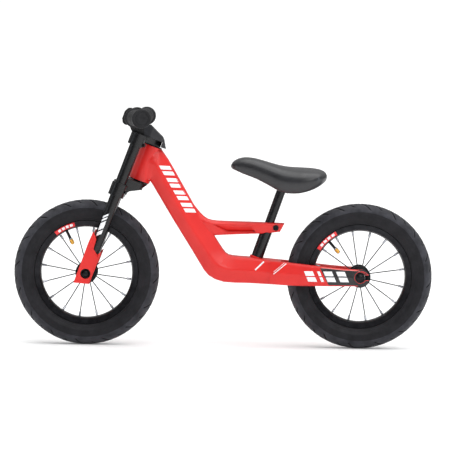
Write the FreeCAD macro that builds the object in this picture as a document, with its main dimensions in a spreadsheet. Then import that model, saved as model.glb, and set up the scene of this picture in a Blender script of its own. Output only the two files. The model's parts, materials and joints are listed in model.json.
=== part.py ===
import FreeCAD, Part
import math
import os

import Sketcher
from FreeCAD import Placement, Rotation, Vector

# Balance bike with 12 inch spoked wheels, a cast frame and a double-crown fork.
# Frame of the part: X runs backwards (the bike faces -X), Y runs to the rider's right, Z up.
# The origin is on the ground, midway between the two tyre ends and on the mid-plane.
# Two tilted local frames are used: STEER, whose Z is the steering axis, X its square to the rear,
# and SEAT, whose Z is the seat post's axis. Both are turned about Y only.

os.makedirs("parts", exist_ok=True)
doc = FreeCAD.newDocument("balance_bike")

SIZES = {
    # wheels
    "wheelbase": 568, "axle_height": 151, "tyre_radius": 151, "tyre_half_width": 25,
    "bead_seat_radius": 101.5, "rim_edge_radius": 107.5, "rim_inner_radius": 94.5,
    "rim_half_width": 17, "rim_base_half_width": 9, "rim_wall": 2.4, "rim_floor": 3.2,
    "bead_thickness": 4.6, "casing_thickness": 3.4, "tread_thickness": 5.6,
    "tube_ring_radius": 123.5, "tube_section_radius": 16, "tube_wall": 1.4,
    "spoke_count": 16, "spoke_radius": 1.1, "nipple_radius": 2.3, "nipple_length": 10,
    "spoke_rim_offset": 3, "front_spoke_angle": 14, "rear_spoke_angle": 9.5,
    "valve_stem_radius": 2.9, "valve_hole_radius": 4.2, "valve_stem_end": 75, "valve_cap_radius": 3.6,
    "valve_cap_end": 64, "front_valve_angle": 27, "rear_valve_angle": 42,
    "hub_radius": 14, "hub_half_width": 31, "flange_radius": 22.5, "flange_outer": 28,
    "flange_width": 5, "bearing_radius": 11, "bearing_width": 7, "running_gap": 0.05,
    "axle_radius": 4.75, "spacer_radius": 8.5,
    "nut_circumradius": 8.6, "nut_height": 6, "nut_dome_height": 3.6, "washer_radius": 9.5,
    "washer_thickness": 1.5,
    # fork
    "head_lean": 20.3, "fork_offset": 33, "leg_spread": 47, "leg_radius": 11.4, "leg_wall": 1.8,
    "leg_top": 305.5, "leg_foot": 24, "foot_half_width": 12, "foot_thickness": 6, "foot_inner": 44,
    "crown_low_bottom": 171.5, "crown_low_top": 199.5, "collar_radius": 17, "crown_low_face": 214.5,
    "crown_up_bottom": 284, "crown_up_top": 309, "crown_up_face": 297.2,
    "steerer_radius": 12.7, "steerer_wall": 2, "steerer_top": 312,
    "head_bottom": 218, "head_top": 294, "head_radius": 22, "head_bore_radius": 17,
    "cup_lip_radius": 20.5, "cup_lip": 2, "cup_depth": 14, "cup_inner_radius": 15.2,
    "headset_bearing_height": 8, "crown_bolt_radius": 2.5,
    "bar_ahead": 63.6, "bar_up": 333.6, "clamp_radius": 15.5, "clamp_half_width": 21,
    "clamp_split": 1.6, "cap_bolt_radius": 2, "cap_bolt_level": 13.6,
    "guard_inner": 50.6, "guard_outer": 62.5,
    "cover_half_width": 33,
    # handlebar
    "bar_radius": 11.1, "bar_wall": 1.8, "bar_straight": 36, "bar_bend_radius": 70, "bar_sweep": 9.8,
    "bar_half_span": 204, "bar_clamp_length": 50, "bar_step": 0.2, "grip_length": 112,
    "grip_radius": 16, "grip_flange_radius": 19.6, "grip_flange_width": 5, "grip_end_width": 8,
    "grip_bore_gap": 0.05,
    # seat
    "seat_lean": 19.1, "seat_axis_x": 95.5, "seat_axis_z": 260, "post_radius": 9.5, "post_wall": 1.6,
    "post_exposed": 80, "post_insert": 75, "seat_tube_radius": 12.3, "seat_tube_top": 8,
    "seat_tube_bottom": 84, "seat_bore_bottom": 126, "clamp_bolt_radius": 3, "clamp_bolt_back": 15.6,
    "clamp_bolt_down": 6, "clamp_bolt_head": 5.8, "clamp_slot": 2, "arm_clamp_half_width": 17,
    # rear end
    "casting_wall": 6, "stay_inner": 40, "stay_outer": 50, "dropout_recess_radius": 11.2,
    "dropout_recess": 3.5, "dropout_slot": 10.2, "arm_recess": 2,
    # gaps left between pieces that touch
    "contact_gap": 0.05, "press_gap": 0.02,
}

sheet = doc.addObject("Spreadsheet::Sheet", "Sizes")
for row, (alias, number) in enumerate(SIZES.items(), start=1):
    sheet.set(f"A{row}", alias)
    sheet.set(f"B{row}", str(number))
    sheet.setAlias(f"B{row}", alias)
doc.recompute()


class Size:
    """A length or angle that carries its spreadsheet expression along with its value."""

    def __init__(self, text, value):
        self.text = text
        self.value = value

    def join(self, other, sign, value):
        text = other.text if isinstance(other, Size) else str(other)
        return Size(f"({self.text} {sign} {text})", value)

    def __add__(self, other):
        return self.join(other, "+", self.value + float(other))

    def __sub__(self, other):
        return self.join(other, "-", self.value - float(other))

    def __mul__(self, other):
        return self.join(other, "*", self.value * float(other))

    def __truediv__(self, other):
        return self.join(other, "/", self.value / float(other))

    def __neg__(self):
        return Size(f"(0 - {self.text})", -self.value)

    def __float__(self):
        return float(self.value)


def mm(number):
    """A plain length that belongs to one place only."""
    return Size(str(number), number)


class Sizes:
    """Reads the sheet's cells by name, as Size values."""

    def __getattr__(self, alias):
        return Size(f"Sizes.{alias}", float(sheet.get(alias)))


S = Sizes()
WHEELBASE = float(S.wheelbase)
AXLE_Z = float(S.axle_height)
LEAN = float(S.head_lean)
FORK_OFFSET = float(S.fork_offset)
AXIS_Y = Vector(0, 1, 0)
AXIS_Z = Vector(0, 0, 1)
SIDES = {"left": -1, "right": 1}


def steer_origin():
    """The point of the steering axis that is square to the front axle."""
    lean = math.radians(LEAN)
    return Vector(
        -WHEELBASE / 2 + FORK_OFFSET * math.cos(lean), 0, AXLE_Z - FORK_OFFSET * math.sin(lean)
    )


STEER = Placement(steer_origin(), Rotation(AXIS_Y, LEAN))
SEAT_TOP = Vector(float(S.seat_axis_x), 0, float(S.seat_axis_z))
SEAT = Placement(SEAT_TOP, Rotation(AXIS_Y, float(S.seat_lean)))
ALONG_Y = Rotation(Vector(1, 0, 0), -90)  # turns a Z-aligned piece so that its Z points to +Y
BOLT_GAP = 0.03  # between the handlebar clamp's bolts and their holes
NODES = []


def at(x, y, z, turn=None):
    return Placement(Vector(float(x), float(y), float(z)), turn or Rotation())


def bind(thing, **sizes):
    """Tie an object's properties to the sheet."""
    for name, size in sizes.items():
        if isinstance(size, Size):
            thing.setExpression(name, size.text)
        else:
            setattr(thing, name, size)
    return thing


def keep(thing, label):
    """Name a finished sub-part, which is then written to its own file."""
    thing.Label = label
    NODES.append(thing)
    return thing


# ---- Part primitives, bound to the sheet ----

def cylinder(name, radius, height, place):
    rod = bind(doc.addObject("Part::Cylinder", name), Radius=radius, Height=height)
    rod.Placement = place
    return rod


def cross_rod(name, radius, half_length, x, z):
    """A cylinder along Y, centred on the mid-plane."""
    return cylinder(name, radius, half_length * 2, at(x, -float(half_length), z, ALONG_Y))


def box(name, length, width, height, place):
    block = bind(doc.addObject("Part::Box", name), Length=length, Width=width, Height=height)
    block.Placement = place
    return block


def cut(name, base, *tools):
    result = base
    for number, tool in enumerate(tools):
        step = doc.addObject("Part::Cut", f"{name}_cut{number}")
        step.Base = result
        step.Tool = tool
        result = step
    return result


def fuse(name, *pieces):
    joined = doc.addObject("Part::MultiFuse", name)
    joined.Shapes = list(pieces)
    return joined


def pair(name, one):
    """A piece and its mirror image on the other side of the mid-plane, as one node."""
    mirror = doc.addObject("Part::Mirroring", f"{name}_mirror")
    mirror.Source = one
    mirror.Normal = AXIS_Y
    both = doc.addObject("Part::Compound", name)
    both.Links = [one, mirror]
    return both


def made(name, shape, place=None):
    """A piece whose shape is built by Part's own functions."""
    piece = doc.addObject("Part::Feature", name)
    piece.Shape = shape
    if place:
        piece.Placement = place
    return piece


# ---- PartDesign bodies with sketches bound to the sheet ----

def origin_plane(body, role):
    return next(feature for feature in body.Origin.OriginFeatures if feature.Role == role)


def new_body(name, place):
    body = doc.addObject("PartDesign::Body", name)
    body.Placement = place
    return body


def new_sketch(body, name, role, offset=0):
    sketch = body.newObject("Sketcher::SketchObject", name)
    sketch.AttachmentSupport = [(origin_plane(body, role), "")]
    sketch.MapMode = "FlatFace"
    sketch.AttachmentOffset = Placement(Vector(0, 0, float(offset)), Rotation())
    return sketch


def fix_point(sketch, geometry, point, x, y):
    """Hold a sketch point at x, y, each either on an axis or at a bound distance from the origin."""
    for kind, axis, size in (("DistanceX", -2, x), ("DistanceY", -1, y)):
        if float(size) == 0:
            sketch.addConstraint(Sketcher.Constraint("PointOnObject", geometry, point, axis))
            continue
        index = sketch.addConstraint(
            Sketcher.Constraint(kind, -1, 1, geometry, point, float(size))
        )
        if isinstance(size, Size):
            name = f"{kind}_{geometry}_{point}"
            sketch.renameConstraint(index, name)
            sketch.setExpression(f"Constraints.{name}", size.text)


def draw_polygon(sketch, corners):
    count = len(corners)
    first = sketch.GeometryCount
    spots = [Vector(float(x), float(y), 0) for x, y in corners]
    for i in range(count):
        sketch.addGeometry(Part.LineSegment(spots[i], spots[(i + 1) % count]), False)
    for i in range(count):
        sketch.addConstraint(
            Sketcher.Constraint("Coincident", first + i, 2, first + (i + 1) % count, 1)
        )
    for i, (x, y) in enumerate(corners):
        fix_point(sketch, first + i, 1, x, y)


def revolved(name, role, corners, place):
    """A body turned about its sketch's vertical axis."""
    body = new_body(name, place)
    sketch = new_sketch(body, f"{name}_profile", role)
    draw_polygon(sketch, corners)
    turn = body.newObject("PartDesign::Revolution", f"{name}_turn")
    turn.Profile = sketch
    turn.ReferenceAxis = (sketch, ["V_Axis"])
    turn.Angle = 360
    sketch.Visibility = False
    return body


def padded(name, role, corners, length, place, offset=0, both_ways=False):
    """A body padded square to its sketch, one way or evenly both ways."""
    body = new_body(name, place)
    sketch = new_sketch(body, f"{name}_outline", role, offset)
    draw_polygon(sketch, corners)
    pad = body.newObject("PartDesign::Pad", f"{name}_pad")
    pad.Profile = sketch
    pad.SideType = "Symmetric" if both_ways else "One side"
    bind(pad, Length=length)
    return body


# ---- section lofts for the castings and the saddle ----

def between(a, b, share):
    return a + (b - a) * share


def rounded(corners, radius):
    """A closed wire through the corners, each corner eased by a short quadratic curve."""
    spots = []
    count = len(corners)
    for i, corner in enumerate(corners):
        before = corners[i - 1] - corner
        after = corners[(i + 1) % count] - corner
        start = corner + before * (min(radius, before.Length * 0.4) / before.Length)
        finish = corner + after * (min(radius, after.Length * 0.4) / after.Length)
        spots += [start, (start + finish) * 0.25 + corner * 0.5, finish]
    return Part.makePolygon(spots + [spots[0]])


def section(top, bottom, outline, radius):
    """A cross-section between two side-view points; outline holds (share of the height, y)."""
    high = Vector(top[0], 0, top[1])
    low = Vector(bottom[0], 0, bottom[1])
    corners = [between(low, high, share) + Vector(0, y, 0) for share, y in outline]
    return rounded(corners, radius)


def smoothed(stations, steps):
    """Stations with Catmull-Rom in-betweens, so that a casting bends smoothly."""
    result = []
    last = len(stations) - 1
    for i in range(last):
        around = [stations[max(i - 1, 0)], stations[i], stations[i + 1], stations[min(i + 2, last)]]
        for step in range(steps):
            share = step / steps
            result.append([catmull(values, share) for values in zip(*around)])
    return result + [list(stations[-1])]


def catmull(values, share):
    a, b, c, d = values
    slope_in = (c - a) / 2
    slope_out = (d - b) / 2
    cube, square = share**3, share**2
    return (
        (2 * cube - 3 * square + 1) * b + (cube - 2 * square + share) * slope_in
        + (3 * square - 2 * cube) * c + (cube - square) * slope_out
    )


def loft(wires):
    return Part.makeLoft(wires, True, True)


# ---- frame casting ----

def spine_sections(wall=0):
    """Head, down tube and beam: a six-sided section with a ridge along each flank.

    With a wall it gives the hollow inside, which stops short of both ends.
    """
    # top x, top z, bottom x, bottom z, ridge height share, half widths at the top, ridge and bottom
    stations = [
        (-151, 415, -178, 343, 0.60, 17, 21, 18),
        (-131, 407, -158, 344, 0.55, 16, 25, 16),
        (-103, 364, -150, 336, 0.45, 15, 27, 14),
        (-63, 295, -108, 267, 0.42, 15, 27, 14),
        (-20, 232, -66, 201, 0.42, 16, 28, 15),
        (0, 202, -48, 172, 0.44, 18, 29, 16),
        (11, 192, -30, 148, 0.46, 19, 30, 17),
        (30, 189, 2, 135, 0.47, 21, 31, 19),
        (62, 187, 50, 134, 0.48, 26, 35, 24),
        (92, 184, 90, 133, 0.49, 33, 41, 32),
        (120, 181, 120, 132, 0.50, 40, 46, 39),
    ]
    stations = smoothed(stations, 2)
    if wall:
        stations = stations[2:-3]
    wires = []
    for tx, tz, bx, bz, share, top, ridge, low in stations:
        inset = wall / math.hypot(tx - bx, tz - bz)
        corners = [(1 - inset, top - wall / 2), (share, ridge - wall), (inset, low - wall / 2)]
        corners += [(level, -y) for level, y in reversed(corners)]
        wires.append(section((tx, tz), (bx, bz), corners, 5))
    return wires


# corners of the shallow recess in each flank of the arm, x and z
ARM_RECESS = [(-22, 255), (54, 253.5), (67, 239), (6, 238.5)]


def arm_sections(inset=0):
    """The arm from the down tube to the seat post clamp, with a swept root; narrower by an inset."""
    # top x, top z, bottom x, bottom z, half widths at the top, shoulder and bottom
    stations = [
        (-63, 295, -92, 262, 12, 15, 12),
        (-49, 278, -72, 240, 13, 17, 12),
        (-34, 266, -42, 229, 14, 19, 13),
        (-12, 262, -14, 232, 14, 20, 14),
        (40, 261, 40, 235, 13, 18, 13),
        (88, 260, 84, 237, 13, 17, 13),
        (126, 259, 117, 241, 12, 15, 12),
    ]
    return [
        section(
            (tx, tz), (bx, bz),
            [
                (1, top), (0.82, side), (0.1, low), (0, low - 3),
                (0, 3 - low), (0.1, -low), (0.82, -side), (1, -top),
            ],
            3,
        )
        for tx, tz, bx, bz, top, side, low in (
            (*station[:4], *(width - inset for width in station[4:])) for station in smoothed(stations, 2)
        )
    ]


def stay_sections(side):
    """One rear stay, from inside the beam back to the dropout."""
    # x, top z, bottom z, inner y, outer y
    stations = [
        (96, 182, 134, 22, 41),
        (118, 181, 132.5, 29, 46.5),
        (146, 178.5, 131.5, 34, 48.5),
        (200, 173, 131.5, 36.5, 49.5),
        (245, 169, 132, 40, 50),
        (286, 167, 132.5, 40, 50),
    ]
    return [
        section(
            (x, top), (x, bottom),
            [(1, side * inner), (1, side * (outer - 3)), (0.5, side * outer), (0, side * (outer - 3)),
             (0, side * inner)], 3.5,
        )
        for x, top, bottom, inner, outer in smoothed(stations, 2)
    ]


def rod_shape(radius, start, finish):
    direction = finish - start
    return Part.makeCylinder(radius, direction.Length, start, direction)


def on_seat_axis(distance):
    return SEAT.multVec(Vector(0, 0, distance))


def on_steering_axis(height):
    return STEER.multVec(Vector(0, 0, height))


def dropout_end(side):
    """The rounded end of a stay, around the rear axle."""
    axle = Vector(WHEELBASE / 2 + 2, 0, AXLE_Z - 1.2)
    inner = float(S.stay_inner)
    outer = float(S.stay_outer)
    start = inner if side > 0 else -outer
    return Part.makeCylinder(17.6, outer - inner, axle + Vector(0, start, 0), AXIS_Y)


def frame_shape():
    solid = loft(spine_sections()).cut(loft(spine_sections(float(S.casting_wall))))
    extras = [loft(arm_sections())]
    for side in SIDES.values():
        extras += [loft(stay_sections(side)), dropout_end(side)]
    head_ends = [on_steering_axis(float(level)) for level in (S.head_bottom, S.head_top)]
    extras.append(rod_shape(float(S.head_radius), *head_ends))
    extras.append(rod_shape(15, on_seat_axis(-100), on_seat_axis(-76)))
    solid = solid.fuse(extras).removeSplitter()

    head_low = on_steering_axis(float(S.head_bottom))
    head_high = on_steering_axis(float(S.head_top))
    cutters = [
        Part.makeCylinder(60, 40, head_high, head_high - head_low),
        Part.makeCylinder(30, 40, head_low, head_low - head_high),
        rod_shape(float(S.head_bore_radius), head_low, head_high),
        rod_shape(float(S.post_radius) + 0.1, on_seat_axis(-float(S.seat_bore_bottom)), on_seat_axis(20)),
        rod_shape(float(S.seat_tube_radius) + float(S.contact_gap), on_seat_axis(-float(S.seat_tube_bottom)),
                  on_seat_axis(-float(S.seat_tube_top))),
    ]
    bolt = SEAT.multVec(Vector(float(S.clamp_bolt_back), 0, -float(S.clamp_bolt_down)))
    reach = Vector(0, 40, 0)
    cutters.append(rod_shape(float(S.clamp_bolt_radius) + 0.1, bolt - reach, bolt + reach))
    slot = Part.makeBox(60, float(S.clamp_slot), 60, Vector(0, -float(S.clamp_slot) / 2, -30))
    slot.Placement = SEAT.multiply(slot.Placement)
    cutters.append(slot)
    for side in SIDES.values():
        seat_face = float(S.arm_clamp_half_width) - 3
        start = bolt + Vector(0, side * seat_face, 0)
        cutters.append(Part.makeCylinder(float(S.clamp_bolt_head) + 0.6, 20, start, Vector(0, side, 0)))
    arm_core = loft(arm_sections(float(S.arm_recess)))
    for side in SIDES.values():
        outline = Part.makePolygon([Vector(x, side * 5, z) for x, z in ARM_RECESS + ARM_RECESS[:1]])
        cutters.append(Part.Face(outline).extrude(Vector(0, side * 25, 0)).cut(arm_core))
    for side in SIDES.values():
        axle = Vector(WHEELBASE / 2, 0, AXLE_Z)
        outward = Vector(0, side, 0)
        face = axle + outward * (float(S.stay_outer) - float(S.dropout_recess))
        cutters.append(Part.makeCylinder(float(S.dropout_recess_radius), 20, face, outward))
        half_slot = float(S.dropout_slot) / 2
        near = float(S.stay_inner) - 5 if side > 0 else -float(S.stay_outer) - 5
        cutters.append(Part.makeBox(60, 20, 2 * half_slot, axle + Vector(0, near, -half_slot)))
        cutters.append(Part.makeCylinder(half_slot, 20, axle + Vector(0, near, 0), AXIS_Y))
    for cutter in cutters:
        solid = solid.cut(cutter)
    return solid


keep(made("frame", frame_shape()), "frame")


# ---- headset, in the steering frame ----

def headset():
    outer = S.head_bore_radius - 0.02
    for name, mouth, way in (("lower", S.head_bottom, 1), ("upper", S.head_top, -1)):
        lip = S.cup_lip if way < 0 else -S.cup_lip
        depth = -S.cup_depth if way < 0 else S.cup_depth
        step = 0.02 if way < 0 else -0.02
        floor = depth + (1.5 if way < 0 else -1.5)
        corners = [
            (S.cup_inner_radius, mouth + lip), (S.cup_lip_radius, mouth + lip),
            (S.cup_lip_radius, mouth + step), (outer, mouth + step), (outer, mouth + depth),
            (S.steerer_radius + 0.6, mouth + depth), (S.steerer_radius + 0.6, mouth + floor),
            (S.cup_inner_radius, mouth + floor),
        ]
        keep(revolved(f"{name}_headset_cup", "XZ_Plane", corners, STEER), f"{name}_headset_cup")
        start = floor + (0.05 if way < 0 else -0.05)
        finish = start + (S.headset_bearing_height if way < 0 else -S.headset_bearing_height)
        ring = [
            (S.steerer_radius + S.running_gap, mouth + start), (S.cup_inner_radius - 0.02, mouth + start),
            (S.cup_inner_radius - 0.02, mouth + finish), (S.steerer_radius + S.running_gap, mouth + finish),
        ]
        keep(revolved(f"{name}_headset_bearing", "XZ_Plane", ring, STEER), f"{name}_headset_bearing")


headset()


# ---- seat tube and clamp ----

def seat_tube():
    length = S.seat_tube_bottom - S.seat_tube_top
    place = SEAT.multiply(at(0, 0, -float(S.seat_tube_bottom)))
    outer = cylinder("seat_tube_outer", S.seat_tube_radius, length, place)
    inner = cylinder("seat_tube_inner", S.post_radius + 0.1, length, place)
    keep(cut("seat_tube", outer, inner), "seat_tube")


def seat_clamp():
    seat_face = S.arm_clamp_half_width - 3
    centre = SEAT.multiply(at(S.clamp_bolt_back, 0, -float(S.clamp_bolt_down)))
    bolt_axis = centre.multiply(Placement(Vector(), ALONG_Y))
    # the bolt's head is on the left, its nut on the right
    head = cylinder("seat_clamp_bolt_head", S.clamp_bolt_head, mm(4),
                    bolt_axis.multiply(at(0, 0, -float(seat_face) - 4)))
    shank = cylinder("seat_clamp_bolt_shank", S.clamp_bolt_radius, seat_face * 2 + 3,
                     bolt_axis.multiply(at(0, 0, -float(seat_face))))
    socket = bind(doc.addObject("Part::Prism", "seat_clamp_bolt_socket"), Polygon=6,
                  Circumradius=S.clamp_bolt_radius - 0.2, Height=mm(2.5))
    socket.Placement = bolt_axis.multiply(at(0, 0, -float(seat_face) - 4))
    bolt = cut("seat_clamp_bolt", fuse("seat_clamp_bolt_solid", head, shank), socket)
    keep(bolt, "seat_clamp_bolt")
    nut = bind(doc.addObject("Part::Prism", "seat_clamp_nut_hex"), Polygon=6,
               Circumradius=S.clamp_bolt_head, Height=mm(5))
    nut.Placement = bolt_axis.multiply(at(0, 0, seat_face))
    bore = cylinder("seat_clamp_nut_bore", S.clamp_bolt_radius + 0.03, mm(5),
                    bolt_axis.multiply(at(0, 0, seat_face)))
    keep(cut("seat_clamp_nut", nut, bore), "seat_clamp_nut")


seat_tube()
seat_clamp()


# ---- fork ----

def fork_leg(side_name, side):
    """A round tube whose foot is pressed flat around the axle."""
    y = S.leg_spread if side > 0 else -S.leg_spread
    length = S.leg_top - S.leg_foot
    place = STEER.multiply(at(-FORK_OFFSET, y, S.leg_foot))
    tube = cut(f"leg_{side_name}_tube", cylinder(f"leg_{side_name}_outer", S.leg_radius, length, place),
               cylinder(f"leg_{side_name}_inner", S.leg_radius - S.leg_wall, length, place))
    foot_low = side * float(S.foot_inner) - (0 if side > 0 else float(S.foot_thickness))
    foot = box(f"leg_{side_name}_foot", S.foot_half_width * 2, S.foot_thickness, S.leg_foot + 14,
               STEER.multiply(at(-FORK_OFFSET - float(S.foot_half_width), foot_low, 0)))
    end = cylinder(f"leg_{side_name}_end", S.foot_half_width, S.foot_thickness,
                   STEER.multiply(at(-FORK_OFFSET, foot_low, 0, ALONG_Y)))
    hole = cylinder(f"leg_{side_name}_hole", S.axle_radius + S.contact_gap, S.foot_thickness + 2,
                    STEER.multiply(at(-FORK_OFFSET, foot_low - 1, 0, ALONG_Y)))
    leg = cut(f"fork_leg_{side_name}", fuse(f"leg_{side_name}_solid", tube, foot, end), hole)
    keep(leg, f"fork_leg_{side_name}")


def collar_bores(name, bottom, top, radius):
    """Cutters that clear both fork legs through a crown."""
    bores = []
    for side_name, side in SIDES.items():
        y = side * float(S.leg_spread)
        bores.append(cylinder(f"{name}_bore_{side_name}", radius, top - bottom + 2,
                              STEER.multiply(at(-FORK_OFFSET, y, float(bottom) - 1))))
    return bores


def collars(name, bottom, top):
    rings = []
    for side_name, side in SIDES.items():
        y = side * float(S.leg_spread)
        rings.append(cylinder(f"{name}_collar_{side_name}", S.collar_radius, top - bottom,
                              STEER.multiply(at(-FORK_OFFSET, y, bottom))))
    return rings


def lower_crown():
    """The bridge under the head: two collars, and a wing that rises under the lower bearing."""
    wing = padded(
        "lower_crown_wing", "XZ_Plane",
        [(-S.fork_offset - 9, S.crown_low_bottom + 4), (-S.fork_offset + 6, S.crown_low_bottom + 4),
         (mm(-9), mm(191)), (mm(9), mm(200)),
         (mm(19), S.crown_low_face), (-S.fork_offset + 2, S.crown_low_face),
         (-S.fork_offset - 9, S.crown_low_top)],
        S.leg_spread * 2, STEER, both_ways=True,
    )
    solid = fuse("lower_crown_solid", wing, *collars("lower_crown", S.crown_low_bottom, S.crown_low_top))
    turning = cylinder("lower_crown_trim", mm(46), mm(60), STEER.multiply(at(-24, 0, 165)))
    sides = fuse("lower_crown_limits", turning,
                 *collars("lower_crown_limit", S.crown_low_bottom, S.crown_low_top))
    trimmed = doc.addObject("Part::MultiCommon", "lower_crown_trimmed")
    trimmed.Shapes = [solid, sides]
    steerer = cylinder("lower_crown_steerer", S.steerer_radius + S.press_gap, mm(60),
                       STEER.multiply(at(0, 0, 165)))
    bores = collar_bores("lower_crown", S.crown_low_bottom, S.crown_low_top + 15, S.leg_radius + S.contact_gap)
    keep(cut("lower_crown", trimmed, *bores, steerer), "lower_crown")


def clamp_block(name):
    """The rounded block round the handlebar, from which the stem and its cap are both cut."""
    # ahead of the bar's centre and away from it, up or down
    corners = [(-12.5, 16), (6, 18.4), (11.5, 15.8), (15.5, 8)]
    upper = [(-S.bar_ahead - ahead, S.bar_up + away) for ahead, away in corners]
    lower = [(-S.bar_ahead - ahead, S.bar_up - away) for ahead, away in reversed(corners)]
    return padded(name, "XZ_Plane", upper + lower, S.clamp_half_width * 2, STEER, both_ways=True)


def clamp_bolts(name, gap):
    """The four bolts of the handlebar clamp, heads sunk in the cap; or, with a gap, their holes."""
    bolts = []
    for level in (-1, 1):
        for side in (-1, 1):
            spot = at(-float(S.bar_ahead), side * (float(S.clamp_half_width) - 7),
                      float(S.bar_up) + level * float(S.cap_bolt_level), Rotation(AXIS_Y, 90))
            shank = cylinder(f"{name}_shank_{level}_{side}", S.cap_bolt_radius + gap, mm(18),
                             STEER.multiply(spot).multiply(at(0, 0, -8)))
            head = cylinder(f"{name}_head_{level}_{side}", S.cap_bolt_radius * 1.6 + gap,
                            mm(3) + gap * 400,
                            STEER.multiply(spot).multiply(at(0, 0, -11 - gap * 400)))
            bolts.append(fuse(f"{name}_{level}_{side}", head, shank))
    return bolts


def upper_crown():
    """The top bridge, with the stem that carries the handlebar ahead of the legs."""
    plate = padded(
        "upper_crown_plate", "XY_Plane",
        [(-S.fork_offset - 8, -S.leg_spread), (-S.fork_offset + 10, -S.leg_spread),
         (mm(16), mm(-16)), (mm(16), mm(16)),
         (-S.fork_offset + 10, S.leg_spread), (-S.fork_offset - 8, S.leg_spread)],
        S.crown_up_top - S.crown_up_face, STEER, offset=S.crown_up_face,
    )
    stem = padded(
        "upper_crown_stem", "XZ_Plane",
        [(-S.bar_ahead + 2, S.bar_up - S.clamp_radius + 1), (-S.fork_offset - 12, S.crown_up_face + 4),
         (-S.fork_offset + 8, S.crown_up_face + 1), (-S.fork_offset + 20, S.crown_up_top),
         (-S.bar_ahead + 12, S.bar_up + S.clamp_radius - 3),
         (-S.bar_ahead + 2, S.bar_up + S.clamp_radius - 1)],
        S.clamp_half_width * 2, STEER, both_ways=True,
    )
    clamp = clamp_block("upper_crown_clamp")
    solid = fuse("upper_crown_solid", plate, stem, clamp,
                 *collars("upper_crown", S.crown_up_bottom, S.crown_up_top))
    bar = cylinder("upper_crown_bar", S.bar_radius + 0.3, S.clamp_half_width * 2 + 4,
                   STEER.multiply(at(-S.bar_ahead, -S.clamp_half_width - 2, S.bar_up, ALONG_Y)))
    split = box("upper_crown_split", mm(40), S.clamp_half_width * 2 + 4, mm(80),
                STEER.multiply(at(-float(S.bar_ahead) - 40 + float(S.clamp_split) / 2,
                                  -S.clamp_half_width - 2, float(S.bar_up) - 40)))
    steerer = cylinder("upper_crown_steerer", S.steerer_radius + S.press_gap, mm(40),
                       STEER.multiply(at(0, 0, S.crown_up_bottom)))
    bores = collar_bores("upper_crown", S.crown_up_bottom, S.crown_up_top - 4, S.leg_radius + S.contact_gap)
    holes = [bar, split, steerer, *bores, *clamp_bolts("upper_crown", BOLT_GAP)]
    keep(cut("upper_crown", solid, *holes), "upper_crown")


def stem_cap():
    ring = clamp_block("stem_cap_block")
    bar = cylinder("stem_cap_bar", S.bar_radius + 0.3, S.clamp_half_width * 2 + 4,
                   STEER.multiply(at(-S.bar_ahead, -S.clamp_half_width - 2, S.bar_up, ALONG_Y)))
    split = box("stem_cap_split", mm(40), S.clamp_half_width * 2 + 4, mm(80),
                STEER.multiply(at(-float(S.bar_ahead) - float(S.clamp_split) / 2,
                                  -S.clamp_half_width - 2, float(S.bar_up) - 40)))
    keep(cut("stem_cap", ring, bar, split, *clamp_bolts("stem_cap", BOLT_GAP)), "stem_cap")
    bolts = doc.addObject("Part::Compound", "stem_cap_bolts")
    bolts.Links = clamp_bolts("stem_cap_bolt", 0)
    keep(bolts, "stem_cap_bolts")


for side_name, side in SIDES.items():
    fork_leg(side_name, side)
lower_crown()
upper_crown()
stem_cap()


def steerer_tube():
    length = S.steerer_top - S.crown_low_top
    place = STEER.multiply(at(0, 0, S.crown_low_top))
    keep(cut("steerer_tube", cylinder("steerer_outer", S.steerer_radius, length, place),
             cylinder("steerer_inner", S.steerer_radius - S.steerer_wall, length, place)), "steerer_tube")


steerer_tube()


# ---- wheels ----

def wheel(end, x, spoke_angle, valve_angle):
    """Tyre, inner tube, rim, spokes, hub and bearings, all turned about the axle along Y."""
    place = at(x, 0, AXLE_Z)
    keep(tyre(f"{end}_tyre", place), f"{end}_tyre")
    keep(inner_tube(f"{end}_inner_tube", x), f"{end}_inner_tube")
    keep(rim(end, place, valve_angle), f"{end}_rim")
    hub(end, place)
    spokes(end, x, math.radians(spoke_angle))
    valve(end, x, valve_angle)


def inner_tube(name, x):
    """An air-filled ring of rubber."""
    rings = []
    for layer, radius in (("skin", S.tube_section_radius), ("air", S.tube_section_radius - S.tube_wall)):
        ring = doc.addObject("Part::Torus", f"{name}_{layer}")
        bind(ring, Radius1=S.tube_ring_radius, Radius2=radius)
        ring.Placement = at(x, 0, AXLE_Z, ALONG_Y)
        rings.append(ring)
    return cut(name, *rings)


def tyre(name, place):
    """A hollow tyre section: beads inside the rim, round casing, thicker tread."""
    width = float(S.tyre_half_width)
    bead = float(S.bead_seat_radius) + 0.15
    edge = float(S.rim_edge_radius)
    top = float(S.tyre_radius)
    bead_out = float(S.rim_half_width) - float(S.rim_wall) - 0.25
    bead_in = bead_out - float(S.bead_thickness)
    casing = float(S.casing_thickness)
    inner_top = top - float(S.tread_thickness)
    middle = (edge + top) / 2 - 2
    outer = [(bead, bead_out), (edge + 0.9, bead_out), (middle - 11, width * 0.86), (middle, width),
             (top - 11, width * 0.86), (top - 2.4, width * 0.42), (top, 0)]
    inner = [(inner_top, 0), (inner_top - 2.2, width * 0.4), (top - 12, width * 0.86 - casing),
             (middle, width - casing), (middle - 10, width * 0.86 - casing), (edge + 0.9, bead_in + 0.6),
             (bead, bead_in)]
    casing_curve = Part.BSplineCurve()
    far_side = [(r, -y) for r, y in reversed(outer[1:-1])]
    casing_curve.interpolate([Vector(r, y, 0) for r, y in outer[1:] + far_side])
    lining_curve = Part.BSplineCurve()
    far_side = [(r, -y) for r, y in reversed(inner[1:-1])]
    lining_curve.interpolate([Vector(r, y, 0) for r, y in far_side + inner[:-1]])
    edges = (casing_curve.toShape(), lining_curve.toShape())
    return made(name, tyre_turn(*edges, bead, bead_out, bead_in), place)


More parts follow.
